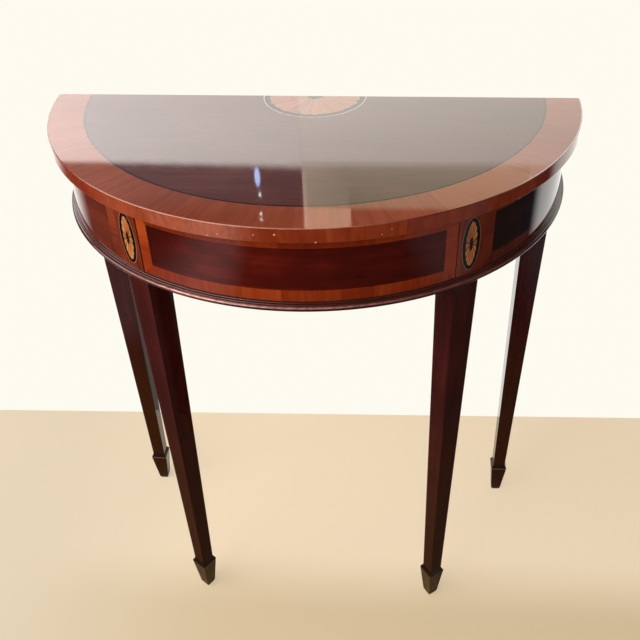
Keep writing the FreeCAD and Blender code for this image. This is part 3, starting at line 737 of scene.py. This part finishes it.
@dataclass(frozen=True)
class LegWood(Veneer):
    """The solid wood of the legs: browner lower down, rubbed at the front feet, with a painted highlight and a
    painted dark reflection at the feet's ledges.
    """

    front: Mask = Mask((0.03, -0.03))
    lower: Colour = (0.034, 0.011, 0.0012)
    lower_up: Mask = Mask((0.5, 0.15), 0.75)
    rubbed: Colour = (0.105, 0.064, 0.024)
    rubbed_up: Mask = Mask((0.0623, 0.0613), 0.7)
    scuff: Colour = (0.15, 0.09, 0.028)
    scuff_up: Mask = Mask((0.06, 0.0))
    scuff_scale: float = 160.0
    scuff_patchy: Mask = Mask((0.4, 0.65))
    scuff_share: float = 0.5
    scuff_wear: float = 0.6
    # painted highlight: a pale line under the ledges of the rear feet
    glint: Colour = (0.34, 0.32, 0.32)
    glint_up: Mask = Mask((0.0609, 0.0613, 0.0621, 0.0625), 0.5)
    # painted dark reflection on the sloping ledges of the feet
    ledge_up: Mask = Mask((0.0620, 0.0626, 0.0690, 0.0695), 0.9)

    def lay(self, shade: Shade) -> Lay:
        """Lay the grain upright."""
        x, y, z = shade.axes()
        return Lay(z, x, y)

    def mark(self, shade: Shade) -> tuple[Tints, Number]:
        """Brown the lower legs, wear and scuff the front feet, and paint a highlight under the rear ledges and a
        dark reflection on the ledges.

        Args:
            shade: The material.

        Returns:
            The tints, and a mask of the dull places.
        """
        _, y, height = shade.axes()
        front = self.front.over(y)
        patchy = self.scuff_patchy.over(shade.noise(shade.place, self.scuff_scale, detail=4.0))
        scuff = self.scuff_up.over(height) * patchy * front
        tints: Tints = [
            (self.lower_up.over(height), self.lower),
            (self.rubbed_up.over(height) * front, self.rubbed),
            (scuff * self.scuff_share, self.scuff),
            # painted highlight under the rear ledges
            (self.glint_up.over(height) * (1.0 - front), self.glint),
            # painted dark reflection on the ledges
            (self.ledge_up.over(height), self.pore_colour),
        ]
        return tints, scuff * self.scuff_wear


class Spread(Enum):
    """Which round inlay a petal belongs to."""

    FAN = "fan"
    OVAL = "oval"


@dataclass(frozen=True)
class PetalWood:
    """Light petals, scorched in hot sand along one side so that they look round."""

    name: str
    spread: Spread
    petals: int
    pale: Colour
    deep: Colour
    scorch: Colour
    scorch_share: float
    reach: Span = (0.0626, 0.0626)
    oval_turn: float = math.radians(35.7)
    oval_height: float = 0.7014
    fibres: Span = (9.0, 2.0)
    own_share: float = 0.3
    stops: Span = (0.3, 0.65)
    side: Mask = Mask((0.4, 0.95))
    side_least: float = 0.35
    side_vary: float = 0.9
    side_fade: float = 0.3
    inner: Mask = Mask((0.4, 0.1), 0.4)
    edges: Mask = Mask((0.12, 0.5))
    edges_out: Mask = Mask((0.9, 0.35), 0.8)
    line: float = 0.0005
    line_core: float = 0.3
    line_share: float = 0.6
    line_colour: Colour = (0.05, 0.018, 0.008)
    rim: float = 0.0
    rim_soft: float = 0.0003
    scallop: float = 0.0008
    heart: float = 0.0
    heart_soft: float = 0.04
    ground: Colour = (0.003, 0.002, 0.002)
    polish: Polish = Polish()

    def spokes(self, shade: Shade) -> tuple[Value, Value, Value]:
        """Measure a place in the inlay.

        Args:
            shade: The material that reads it.

        Returns:
            The count of petals round to it, its share of the way out, and its distance from the petals' tips.
        """
        if self.spread is Spread.FAN:
            x, y, _ = shade.axes()
            side, up = x / self.reach[0], (BOW.back_y - y) / self.reach[1]
            whole, start = math.pi, self.petals / 2.0
        else:
            _, turn, height = BOW.polar(shade)
            side = (abs(turn) - self.oval_turn) * BOW.frieze_radius / self.reach[0]
            up = (height - self.oval_height) / self.reach[1]
            whole, start = 2.0 * math.pi, 0.5
        count = shade.math("ARCTAN2", side, up) * (self.petals / whole) + start
        out = (side * side + up * up).root()
        slope_x, slope_y = side / self.reach[0], up / self.reach[1]
        return count, out, (1.0 - out) * out / (slope_x * slope_x + slope_y * slope_y).root()

    def make(self) -> Material:
        """Make the material.

        Returns:
            The material.
        """
        shade = Shade(self.name)
        count, out, inside = self.spokes(shade)
        part = count.fract()
        own = shade.random(count.floor())
        width = math.pi * sum(self.reach) / 2.0 / self.petals
        edge = part.least(1.0 - part) * out * width
        line = edge.rise(self.line, self.line * self.line_core)
        fibre = Lay(count, out, 0.0).grain(shade, *self.fibres, detail=3.0)
        tone = fibre * (1.0 - self.own_share) + own * self.own_share
        wood = shade.ramp(tone, self.stops, (self.deep, self.pale))
        scorch = self.side.over(part) * (own * self.side_vary + self.side_least) * (1.0 - out * self.side_fade)
        scorch = scorch + self.inner.over(out) + self.edges.over(abs(part - 0.5)) * self.edges_out.over(out)
        tints: Tints = [
            (scorch.least(1.0) * self.scorch_share, self.scorch),
            (line * self.line_share, self.line_colour),
        ]
        if self.rim:
            valley = (part - 0.5) * (part - 0.5) * (4.0 * self.scallop)
            ring = (inside - valley).rise(self.rim, self.rim - self.rim_soft)
            heart = out.rise(self.heart, self.heart - self.heart_soft)
            tints.append((ring.most(heart), self.ground))
        return self.polish.over(shade, shade.tint(wood, tints), line)


class Run(Enum):
    """Which way a plain wood's grain runs."""

    SIDE_TO_SIDE = "side"
    FRONT_TO_BACK = "depth"
    UPRIGHT = "upright"
    ROUND_BOW = "bow"


@dataclass(frozen=True)
class PlainWood:
    """Bare wood inside the table, with growth rings, saw marks and dirt from age."""

    name: str
    early: Colour
    late: Colour
    rings: float = 420.0
    ring_slant: float = 0.6
    bend: Span = (3.0, 14.0)
    bend_depth: float = 0.02
    fibres: Span = (25.0, 800.0)
    fibre_depth: float = 0.00005
    stops: Span = (0.2, 0.85)
    grime: Colour = (0.09, 0.05, 0.028)
    grime_scale: float = 9.0
    grimy: Mask = Mask((0.45, 0.8), 0.45)
    saw: float = 900.0
    saw_depth: float = 0.00002
    roughness: float = 0.55
    roughness_spread: float = 0.2

    def make(self, run: Run) -> Material:
        """Make the material.

        Args:
            run: Which way the grain runs.

        Returns:
            The material.
        """
        shade = Shade(f"{self.name}_{run.value}")
        x, y, z = shade.axes()
        radius, turn, _ = BOW.polar(shade)
        lay = {
            Run.SIDE_TO_SIDE: Lay(x, y, z),
            Run.FRONT_TO_BACK: Lay(y, x, z),
            Run.UPRIGHT: Lay(z, x, y),
            Run.ROUND_BOW: Lay(turn * BOW.frieze_radius, radius, z),
        }[run]
        bend = lay.grain(shade, *self.bend)
        ring = (lay.across * self.ring_slant + lay.depth + bend * self.bend_depth) * self.rings
        fibre = lay.grain(shade, *self.fibres)
        tone = (ring.sine() * 0.5 + 0.5) * 0.5 + fibre * 0.5
        wood = shade.ramp(tone, self.stops, (self.early, self.late))
        grime = self.grimy.over(shade.noise(shade.place, self.grime_scale, detail=5.0))
        saw = (lay.along * self.saw).sine() * 0.5 + 0.5
        return shade.surface(
            {
                "Base Color": shade.mix(grime, wood, self.grime),
                "Roughness": fibre * self.roughness_spread + self.roughness,
                "Normal": shade.relief(fibre * self.fibre_depth + saw * self.saw_depth),
            }
        )


@dataclass(frozen=True)
class ScrewSteel:
    """Dull steel screws with a little rust."""

    name: str = "dull_steel"
    steel: Colour = (0.3, 0.29, 0.27)
    rust: Colour = (0.12, 0.05, 0.025)
    patches: float = 700.0
    rusty: Mask = Mask((0.5, 0.68), 0.8)
    roughness: float = 0.25
    roughness_spread: float = 0.3
    pit_depth: float = 0.00003

    def make(self) -> Material:
        """Make the material.

        Returns:
            The material.
        """
        shade = Shade(self.name)
        patch = shade.noise(shade.place, self.patches, detail=4.0)
        rust = self.rusty.over(patch)
        return shade.surface(
            {
                "Base Color": shade.mix(rust, self.steel, self.rust),
                "Metallic": 1.0 - rust,
                "Roughness": patch * self.roughness_spread + self.roughness,
                "Normal": shade.relief(patch * self.pit_depth),
            }
        )


@dataclass
class SubAssembly:
    """A group of the table's nodes that are dressed together."""

    nodes: Mapping[str, bpy.types.Object]

    def give(self, material: Material, *names: str) -> None:
        """Give nodes a material.

        Args:
            material: The finished material.
            names: The nodes that take it.
        """
        for name in names:
            mesh = self.nodes[name].data
            mesh.materials.clear()
            mesh.materials.append(material)
            LOG.info("%s wears %s", name, material.name)


def both(pattern: str) -> tuple[str, ...]:
    """Name the left and the right one of a pair."""
    return tuple(pattern.format(side) for side in SIDES)


@dataclass
class Top(SubAssembly):
    """The half-round top with its veneers and its fan."""

    field_veneer: Veneer = Veneer(
        "top_field", (0.055, 0.014, 0.012), (0.094, 0.025, 0.021), (0.14, 0.042, 0.034),
        Figure(cloud=7.0, cloud_share=0.55), Polish(pore_depth=0.0000025),
    )
    banding: TopBanding = TopBanding(
        "top_banding", (0.155, 0.030, 0.013), (0.25, 0.052, 0.022), (0.35, 0.085, 0.038),
        Figure(contrast=1.0), Polish(pore_depth=0.0000012), pore_share=0.22,
    )
    edge: TopEdge = TopEdge(
        "top_edge", (0.115, 0.013, 0.003), (0.19, 0.025, 0.006), (0.28, 0.050, 0.015),
        Figure(cloud=26.0, cloud_share=0.65, contrast=1.2), pore_share=0.12,
    )
    petals: PetalWood = PetalWood(
        "fan_petals", Spread.FAN, 12, (0.41, 0.155, 0.088), (0.31, 0.105, 0.056), (0.20, 0.066, 0.035), 0.25,
        line_share=0.4,
    )

    def dress(self) -> None:
        """Dress the top."""
        self.give(self.field_veneer.make(), "top_field_veneer")
        self.give(self.banding.make(), "top_crossbanding")
        self.give(self.edge.make(), "top_edge_band")
        self.give(self.petals.make(), "fan_petals")


@dataclass
class Frieze(SubAssembly):
    """The curved frieze: panels, bands, leg facings, ovals and the moulding at its foot."""

    left_panel: FriezePanel = FriezePanel(
        "left_apron_panel_wood", (0.055, 0.008, 0.0025), (0.094, 0.014, 0.0045), (0.17, 0.031, 0.011),
        Figure(cloud=16.0, cloud_share=0.6, contrast=1.0),
    )
    drawer_panel: FriezePanel = FriezePanel(
        "drawer_front_panel_wood", (0.028, 0.0018, 0.0008), (0.060, 0.0035, 0.0016), (0.115, 0.010, 0.0045),
        drift=-0.4,
    )
    right_panel: FriezePanel = FriezePanel(
        "right_apron_panel_wood", (0.007, 0.0014, 0.0014), (0.013, 0.0024, 0.0024), (0.030, 0.006, 0.006)
    )
    drawer_banding: FriezeBanding = FriezeBanding(
        "drawer_banding", (0.115, 0.011, 0.0015), (0.19, 0.021, 0.0032), (0.29, 0.044, 0.008),
        seam=Seam(math.radians(32.31), Mask((-0.0007, -0.0002), 2.0)),
    )
    apron_banding: FriezeBanding = FriezeBanding(
        "apron_banding", (0.06, 0.008, 0.004), (0.11, 0.015, 0.006), (0.18, 0.030, 0.012),
        panel_from=math.radians(41.51), panel_to=math.radians(85.67),
    )
    facing: UprightVeneer = UprightVeneer(
        "leg_facing", (0.060, 0.007, 0.002), (0.13, 0.018, 0.005), (0.24, 0.042, 0.012)
    )
    moulding: BentWood = BentWood(
        "base_moulding", (0.050, 0.010, 0.007), (0.095, 0.020, 0.014), (0.15, 0.036, 0.024),
        polish=Polish(roughness=0.05, smear=0.04),
    )
    petals: PetalWood = PetalWood(
        "oval_petals", Spread.OVAL, 16, (0.62, 0.255, 0.085), (0.29, 0.072, 0.012), (0.09, 0.010, 0.001), 0.9,
        reach=(0.00905, 0.0308), line=0.0003, rim=0.0010, heart=0.31,
    )

    def dress(self) -> None:
        """Dress the frieze, with the drawer's face, which goes on round it."""
        self.give(self.left_panel.make(), "left_apron_panel")
        self.give(self.drawer_panel.make(), "drawer_front_panel")
        self.give(self.right_panel.make(), "right_apron_panel")
        self.give(self.drawer_banding.make(), "drawer_front_crossbanding")
        self.give(self.apron_banding.make(), *both("{}_apron_crossbanding"))
        self.give(self.facing.make(), *both("{}_leg_facing"))
        self.give(self.moulding.make(), "base_moulding")
        self.give(self.petals.make(), *both("{}_patera_petals"))


@dataclass
class Inlay(SubAssembly):
    """The black and the pale lines and grounds of the inlay."""

    black: Veneer = Veneer(
        "black_inlay", (0.0015, 0.0012, 0.0012), (0.003, 0.0025, 0.0025), (0.008, 0.006, 0.005), pore_share=0.1
    )
    pale: Veneer = Veneer("pale_inlay", (0.18, 0.12, 0.08), (0.26, 0.18, 0.13), (0.34, 0.25, 0.18), pore_share=0.1)
    white: Veneer = Veneer(
        "white_inlay", (0.36, 0.32, 0.26), (0.46, 0.41, 0.34), (0.54, 0.49, 0.41), pore_share=0.05
    )

    def dress(self) -> None:
        """Dress the lines and grounds."""
        dark = ("top_stringing", "fan_ground", "fan_hub", *both("{}_patera_ground"), *both("{}_patera_hub"))
        self.give(self.black.make(), *dark)
        self.give(self.pale.make(), *both("{}_patera_stringing"))
        self.give(self.white.make(), "fan_stringing")


@dataclass
class Legs(SubAssembly):
    """The four tapered legs."""

    wood: LegWood = LegWood(
        "leg_wood", (0.018, 0.0022, 0.002), (0.037, 0.0046, 0.0042), (0.062, 0.009, 0.0075),
        polish=Polish(pore_depth=0.000001), pore_share=0.25,
    )

    def dress(self) -> None:
        """Dress the legs."""
        self.give(self.wood.make(), *both("front_{}_leg"), *both("rear_{}_leg"))


@dataclass
class Carcass(SubAssembly):
    """The plain woods behind the veneer, and the screws."""

    wood: PlainWood = PlainWood("carcass", (0.46, 0.29, 0.15), (0.27, 0.15, 0.075))
    screws: ScrewSteel = ScrewSteel()

    def dress(self) -> None:
        """Dress the frame, each piece along its own grain."""
        self.give(self.wood.make(Run.SIDE_TO_SIDE), "top_board", "back_rail", "drawer_stops")
        bent = self.wood.make(Run.ROUND_BOW)
        self.give(bent, *both("{}_apron"), "front_bottom_rail", "front_top_rail")
        deep = self.wood.make(Run.FRONT_TO_BACK)
        self.give(deep, *both("{}_drawer_runner"), *both("{}_drawer_guide"), *both("{}_kicker"))
        self.give(self.wood.make(Run.UPRIGHT), "glue_blocks")
        self.give(self.screws.make(), "top_screws", "drawer_bottom_screws")


@dataclass
class Drawer(SubAssembly):
    """The plain woods of the drawer."""

    wood: PlainWood = PlainWood("drawer_wood", (0.50, 0.34, 0.19), (0.33, 0.20, 0.10), rings=660.0)

    def dress(self) -> None:
        """Dress the drawer's box, each board along its own grain."""
        self.give(self.wood.make(Run.ROUND_BOW), "drawer_front")
        self.give(self.wood.make(Run.FRONT_TO_BACK), *both("drawer_{}_side"))
        self.give(self.wood.make(Run.SIDE_TO_SIDE), "drawer_back", "drawer_bottom")


def sheet(
    name: str, size: Span, middle: Point, tilt: float, material: Material, turn: float = 0.0
) -> bpy.types.Object:
    """Make a flat sheet of the stage.

    Args:
        name: The object's name.
        size: Its width and length in metres.
        middle: Where its middle is.
        tilt: How far it is tilted up about the X axis, in radians.
        material: What it wears.
        turn: How far it is turned about the Z axis, in radians.

    Returns:
        The sheet, with its place in its mesh.
    """
    bpy.ops.object.select_all(action="DESELECT")
    bpy.ops.mesh.primitive_plane_add(size=1.0, location=middle, rotation=(tilt, 0.0, turn))
    made = bpy.context.object
    made.name = name
    made.scale = (size[0], size[1], 1.0)
    bpy.ops.object.transform_apply(location=True, rotation=True, scale=True)
    made.data.materials.append(material)
    made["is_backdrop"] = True
    LOG.info("stage: %s", name)
    return made


@dataclass(frozen=True)
class Card:
    """A card just before the wall that only the polish sees, as a photographer sets to place a reflection."""

    name: str
    left: float
    right: float
    foot: float
    head: float
    stand: float
    first: Colour
    last: Colour | None = None
    soft: Span = (0.006, 0.006)
    fall: float = 0.0
    wave: float = 0.0
    waves: float = 40.0
    climb: bool = False
    oval: bool = False
    oval_edge: Mask = Mask((0.25, 0.10))
    dim: float = 0.0
    dim_up: Mask = Mask((0.85, 0.25))

    def material(self) -> Material:
        """Make a glow that goes from the first to the last colour and ends at a soft head or in an oval.

        Returns:
            The material.
        """
        shade = Shade(self.name)
        x, _, z = shade.axes()
        across = ((x - self.left) / (self.right - self.left)).most(0.0).least(1.0)
        up = ((z - self.foot) / (self.head - self.foot)).most(0.0).least(1.0)
        colour = shade.mix(up if self.climb else across, self.first, self.last or self.first)
        colour = shade.mix(self.dim_up.over(up) * self.dim, colour, (0.0, 0.0, 0.0))
        if self.oval:
            out = (across - 0.5) * (across - 0.5) + (up - 0.5) * (up - 0.5)
            lit = self.oval_edge.over(out)
        else:
            uneven = (shade.noise(shade.vector(x * self.waves, 0.0, 0.0), detail=3.0) - 0.5) * self.wave
            soft = across * (self.soft[1] - self.soft[0]) + self.soft[0]
            lit = ((self.head - z - across * self.fall + uneven) / soft).rise(-1.0, 1.0)
        return shade.close(shade.blend(lit, shade.shader("BsdfTransparent"), shade.shader("Emission", colour)))

    def build(self, wall_y: float, wall_turn: float) -> None:
        """Stand the card up before the wall, where neither the camera nor any dull surface sees it.

        Args:
            wall_y: Where the wall stands in the middle.
            wall_turn: How far it is turned, in radians.
        """
        head = self.head + abs(self.fall) + max(self.soft) + self.wave
        x = (self.left + self.right) / 2.0
        middle = (x, wall_y + math.tan(wall_turn) * x - self.stand, (self.foot + head) / 2.0)
        size = (self.right - self.left, head - self.foot)
        card = sheet(self.name, size, middle, math.pi / 2.0, self.material(), wall_turn)
        for ray in ("camera", "diffuse", "transmission", "shadow"):
            setattr(card, f"visible_{ray}", False)


@dataclass(frozen=True)
class Patch:
    """A part of the floor or the wall with its own colour, and how it ends along X and Y."""

    colour: Colour
    x: Span = ()
    y: Span = ()
    mirrored: bool = False

    def mask(self, x: Value, y: Value) -> Value:
        """Mask the patch.

        Args:
            x: The place along X.
            y: The place along Y.

        Returns:
            A mask, 1 inside the patch.
        """
        ends = ((abs(x) if self.mirrored else x, self.x), (y, self.y))
        return math.prod(Mask(span).over(place) for place, span in ends if span)


@dataclass(frozen=True)
class Backdrop:
    """The floor or the wall: pale to the camera, light and dark by parts in the polish, clear from behind."""

    name: str
    dull: Colour
    shown: Colour
    sheen: Colour
    shown_patches: tuple[Patch, ...] = ()
    sheen_patches: tuple[Patch, ...] = ()
    shown_share: float = 1.0

    def make(self) -> Material:
        """Make the material.

        Returns:
            The material.
        """
        shade = Shade(self.name)
        x, y, _ = shade.axes()
        shown = shade.tint(self.shown, [(patch.mask(x, y), patch.colour) for patch in self.shown_patches])
        sheen = shade.tint(self.sheen, [(patch.mask(x, y), patch.colour) for patch in self.sheen_patches])
        glossy = shade.ray("Glossy")
        glow = shade.shader("Emission", shade.mix(glossy, shown, sheen))
        seen = glossy.most(shade.ray("Camera") * self.shown_share)
        front = shade.blend(seen, shade.shader("BsdfDiffuse", self.dull), glow)
        behind = Value(shade, shade.add("ShaderNodeNewGeometry").outputs["Backfacing"])
        return shade.close(shade.blend(behind, front, shade.shader("BsdfTransparent")))


@dataclass(frozen=True)
class Lamp:
    """A soft lamp that looks at the table."""

    name: str
    place: Point
    size: float
    power: float
    colour: Colour
    target: Point = (0.0, 0.0, 0.45)
    glossy: bool = True

    def build(self) -> None:
        """Hang the lamp."""
        bpy.ops.object.light_add(type="AREA", location=self.place)
        lamp = bpy.context.object
        lamp.name = self.name
        lamp.data.size = self.size
        lamp.data.energy = self.power
        lamp.data.color = self.colour
        aim = [b - a for a, b in zip(self.place, self.target)]
        flat = math.hypot(aim[0], aim[1])
        lamp.rotation_euler = (math.atan2(flat, -aim[2]), 0.0, math.atan2(-aim[0], aim[1]))
        lamp.visible_glossy = self.glossy


@dataclass(frozen=True)
class Viewpoint:
    """The photograph's camera."""

    place: Point = (0.1066, -0.9011, 1.2086)
    turn: Point = (0.9114, 0.0163, 0.0595)
    lens: float = 45.91
    sensor: float = 36.0
    shift: Span = (-0.0322, 0.0034)

    def build(self) -> None:
        """Set up the camera."""
        bpy.ops.object.camera_add(location=self.place, rotation=self.turn)
        camera = bpy.context.object
        camera.name = "photo_camera"
        camera.data.lens = self.lens
        camera.data.sensor_width = self.sensor
        camera.data.shift_x, camera.data.shift_y = self.shift
        bpy.context.scene.camera = camera


@dataclass
class Studio:
    """The pale floor and wall, the cards, the lamps and the camera."""

    wall_y: float = 0.3375
    wall_turn: float = 0.0244
    wall_head: float = 0.90
    reach: float = 14.0
    ambient: Colour = (0.22, 0.2178, 0.2134)
    dim: Colour = (0.07, 0.07, 0.08)
    wall: Backdrop = Backdrop(
        "white_wall", dull=(0.985, 0.965, 0.87), shown=(0.985, 0.965, 0.87), sheen=(0.03, 0.035, 0.045),
        # painted reflection: the wall as the polish sees it is bright in its middle and dark beyond, with a painted
        # shadow of the table at the left
        sheen_patches=(
            Patch((1.33, 1.30, 1.24), (-0.80, -0.50, 0.72, 0.98)),
            Patch((0.24, 0.22, 0.21), (-0.42, -0.34, -0.12, -0.02)),
        ),
    )
    floor: Backdrop = Backdrop(
        "pale_floor", dull=(0.66, 0.55, 0.40), shown=(0.95, 0.77, 0.55), sheen=(0.05, 0.045, 0.038),
        shown_patches=(Patch((0.65, 0.49, 0.29), y=(0.0, -0.14)), Patch((0.71, 0.61, 0.46), (-0.10, -0.60))),
        # painted reflections: light and grey parts of the floor that only the polish sees
        sheen_patches=(
            Patch((0.53, 0.52, 0.53), (-1.28, -0.90, -0.80, -0.52), (-0.15, -0.34)),
            Patch((0.22, 0.21, 0.21), (0.85, 1.12), (-0.20, -0.45)),
            Patch((0.71, 0.61, 0.46), (0.75, 0.60), (0.12, 0.20), mirrored=True),
            Patch((0.28, 0.27, 0.30), (0.42, 0.52, 0.64, 0.78), (-0.85, -0.70, -0.35, -0.20), mirrored=True),
        ),
        shown_share=0.65,
    )
    lamps: tuple[Lamp, ...] = (
        Lamp("window", (-1.9, -1.5, 2.2), 2.2, 85.0, (1.0, 0.97, 0.93)),
        Lamp("side_window", (-2.3, -0.1, 1.5), 1.6, 30.0, (1.0, 0.97, 0.95)),
        Lamp("front_window", (-0.9, -2.3, 2.0), 1.2, 14.0, (1.0, 0.97, 0.95)),
        Lamp("fill", (1.9, -1.6, 2.0), 1.8, 5.0, (0.95, 0.97, 1.0), glossy=False),
    )
    cards: tuple[Card, ...] = (
        Card("room_card", -0.75, -0.043, 0.90, 1.03, 0.001, (0.62, 0.60, 0.60), (0.20, 0.20, 0.23), (0.035, 0.03)),
        Card(
            "left_card", -0.62, -0.043, 0.79, 0.942, 0.002, (4.4, 4.25, 4.15), (3.35, 3.2, 3.0), (0.003, 0.010),
            fall=-0.0135, wave=0.004, dim=0.13,
        ),
        Card("right_card", -0.043, 0.62, 0.79, 0.9515, 0.002, (3.3, 3.2, 2.9), (2.1, 1.97, 1.7), (0.010, 0.005)),
        Card("door_card", -0.043, 0.338, 0.95, 1.036, 0.001, (1.62, 1.60, 1.20), (0.95, 1.12, 0.78), climb=True),
        Card("side_card", 0.338, 0.62, 0.93, 1.02, 0.001, (2.0, 1.75, 1.5)),
        Card("post_card", -0.043, 0.036, 0.95, 1.034, 0.0015, (2.05, 1.85, 1.40), (1.45, 1.45, 1.08)),
        Card("post_head", -0.043, 0.039, 1.034, 1.09, 0.0016, (3.0, 2.15, 1.5)),
        Card("post_edge", -0.043, -0.037, 0.96, 1.09, 0.0018, (2.3, 2.0, 1.5), (3.8, 2.9, 2.3), climb=True),
        Card("glint_a", -0.1245, -0.1135, 0.953, 0.995, 0.003, (3.6, 4.8, 7.8), oval=True),
        Card("glint_b", -0.1195, -0.1145, 1.003, 1.012, 0.003, (9.0, 9.0, 9.4), oval=True),
        Card("glint_c", -0.1205, -0.1155, 1.042, 1.049, 0.003, (9.0, 8.6, 8.6), oval=True),
        Card("glint_d", -0.1210, -0.1160, 1.053, 1.060, 0.003, (9.0, 8.6, 8.6), oval=True),
    )
    viewpoint: Viewpoint = Viewpoint()

    def light_world(self) -> None:
        """Light the room evenly: pale to the camera, dim in the polish."""
        shade = Shade("room", world=True)
        even, dim, pale = (shade.shader("Background", light) for light in (self.ambient, self.dim, self.wall.shown))
        lit = shade.blend(shade.ray("Glossy"), even, dim)
        bpy.context.scene.world = shade.close(shade.blend(shade.ray("Camera"), lit, pale))

    def build(self) -> None:
        """Set up the room."""
        bpy.context.scene.view_settings.view_transform = "Standard"
        sheet("floor", (self.reach, self.reach), (0.0, 0.0, 0.0), 0.0, self.floor.make())
        middle = (0.0, self.wall_y, self.wall_head / 2.0)
        size = (self.reach, self.wall_head)
        sheet("wall", size, middle, math.pi / 2.0, self.wall.make(), self.wall_turn)
        for card in self.cards:
            card.build(self.wall_y, self.wall_turn)
        for lamp in self.lamps:
            lamp.build()
        self.light_world()
        self.viewpoint.build()


def corners() -> list[list[float]]:
    """Give the shown object's lowest and highest corners as plain lists."""
    return [[float(part) for part in corner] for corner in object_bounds()]


def main() -> None:
    """Load the table, dress its sub-assemblies in order and set up the room."""
    logging.basicConfig(level=logging.INFO)
    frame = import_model()
    nodes = frame["nodes"]
    for group in (Top, Frieze, Inlay, Legs, Carcass, Drawer):
        LOG.info("dressing %s", group.__name__)
        group(nodes).dress()
    Studio().build()


if __name__ == "__main__":
    main()
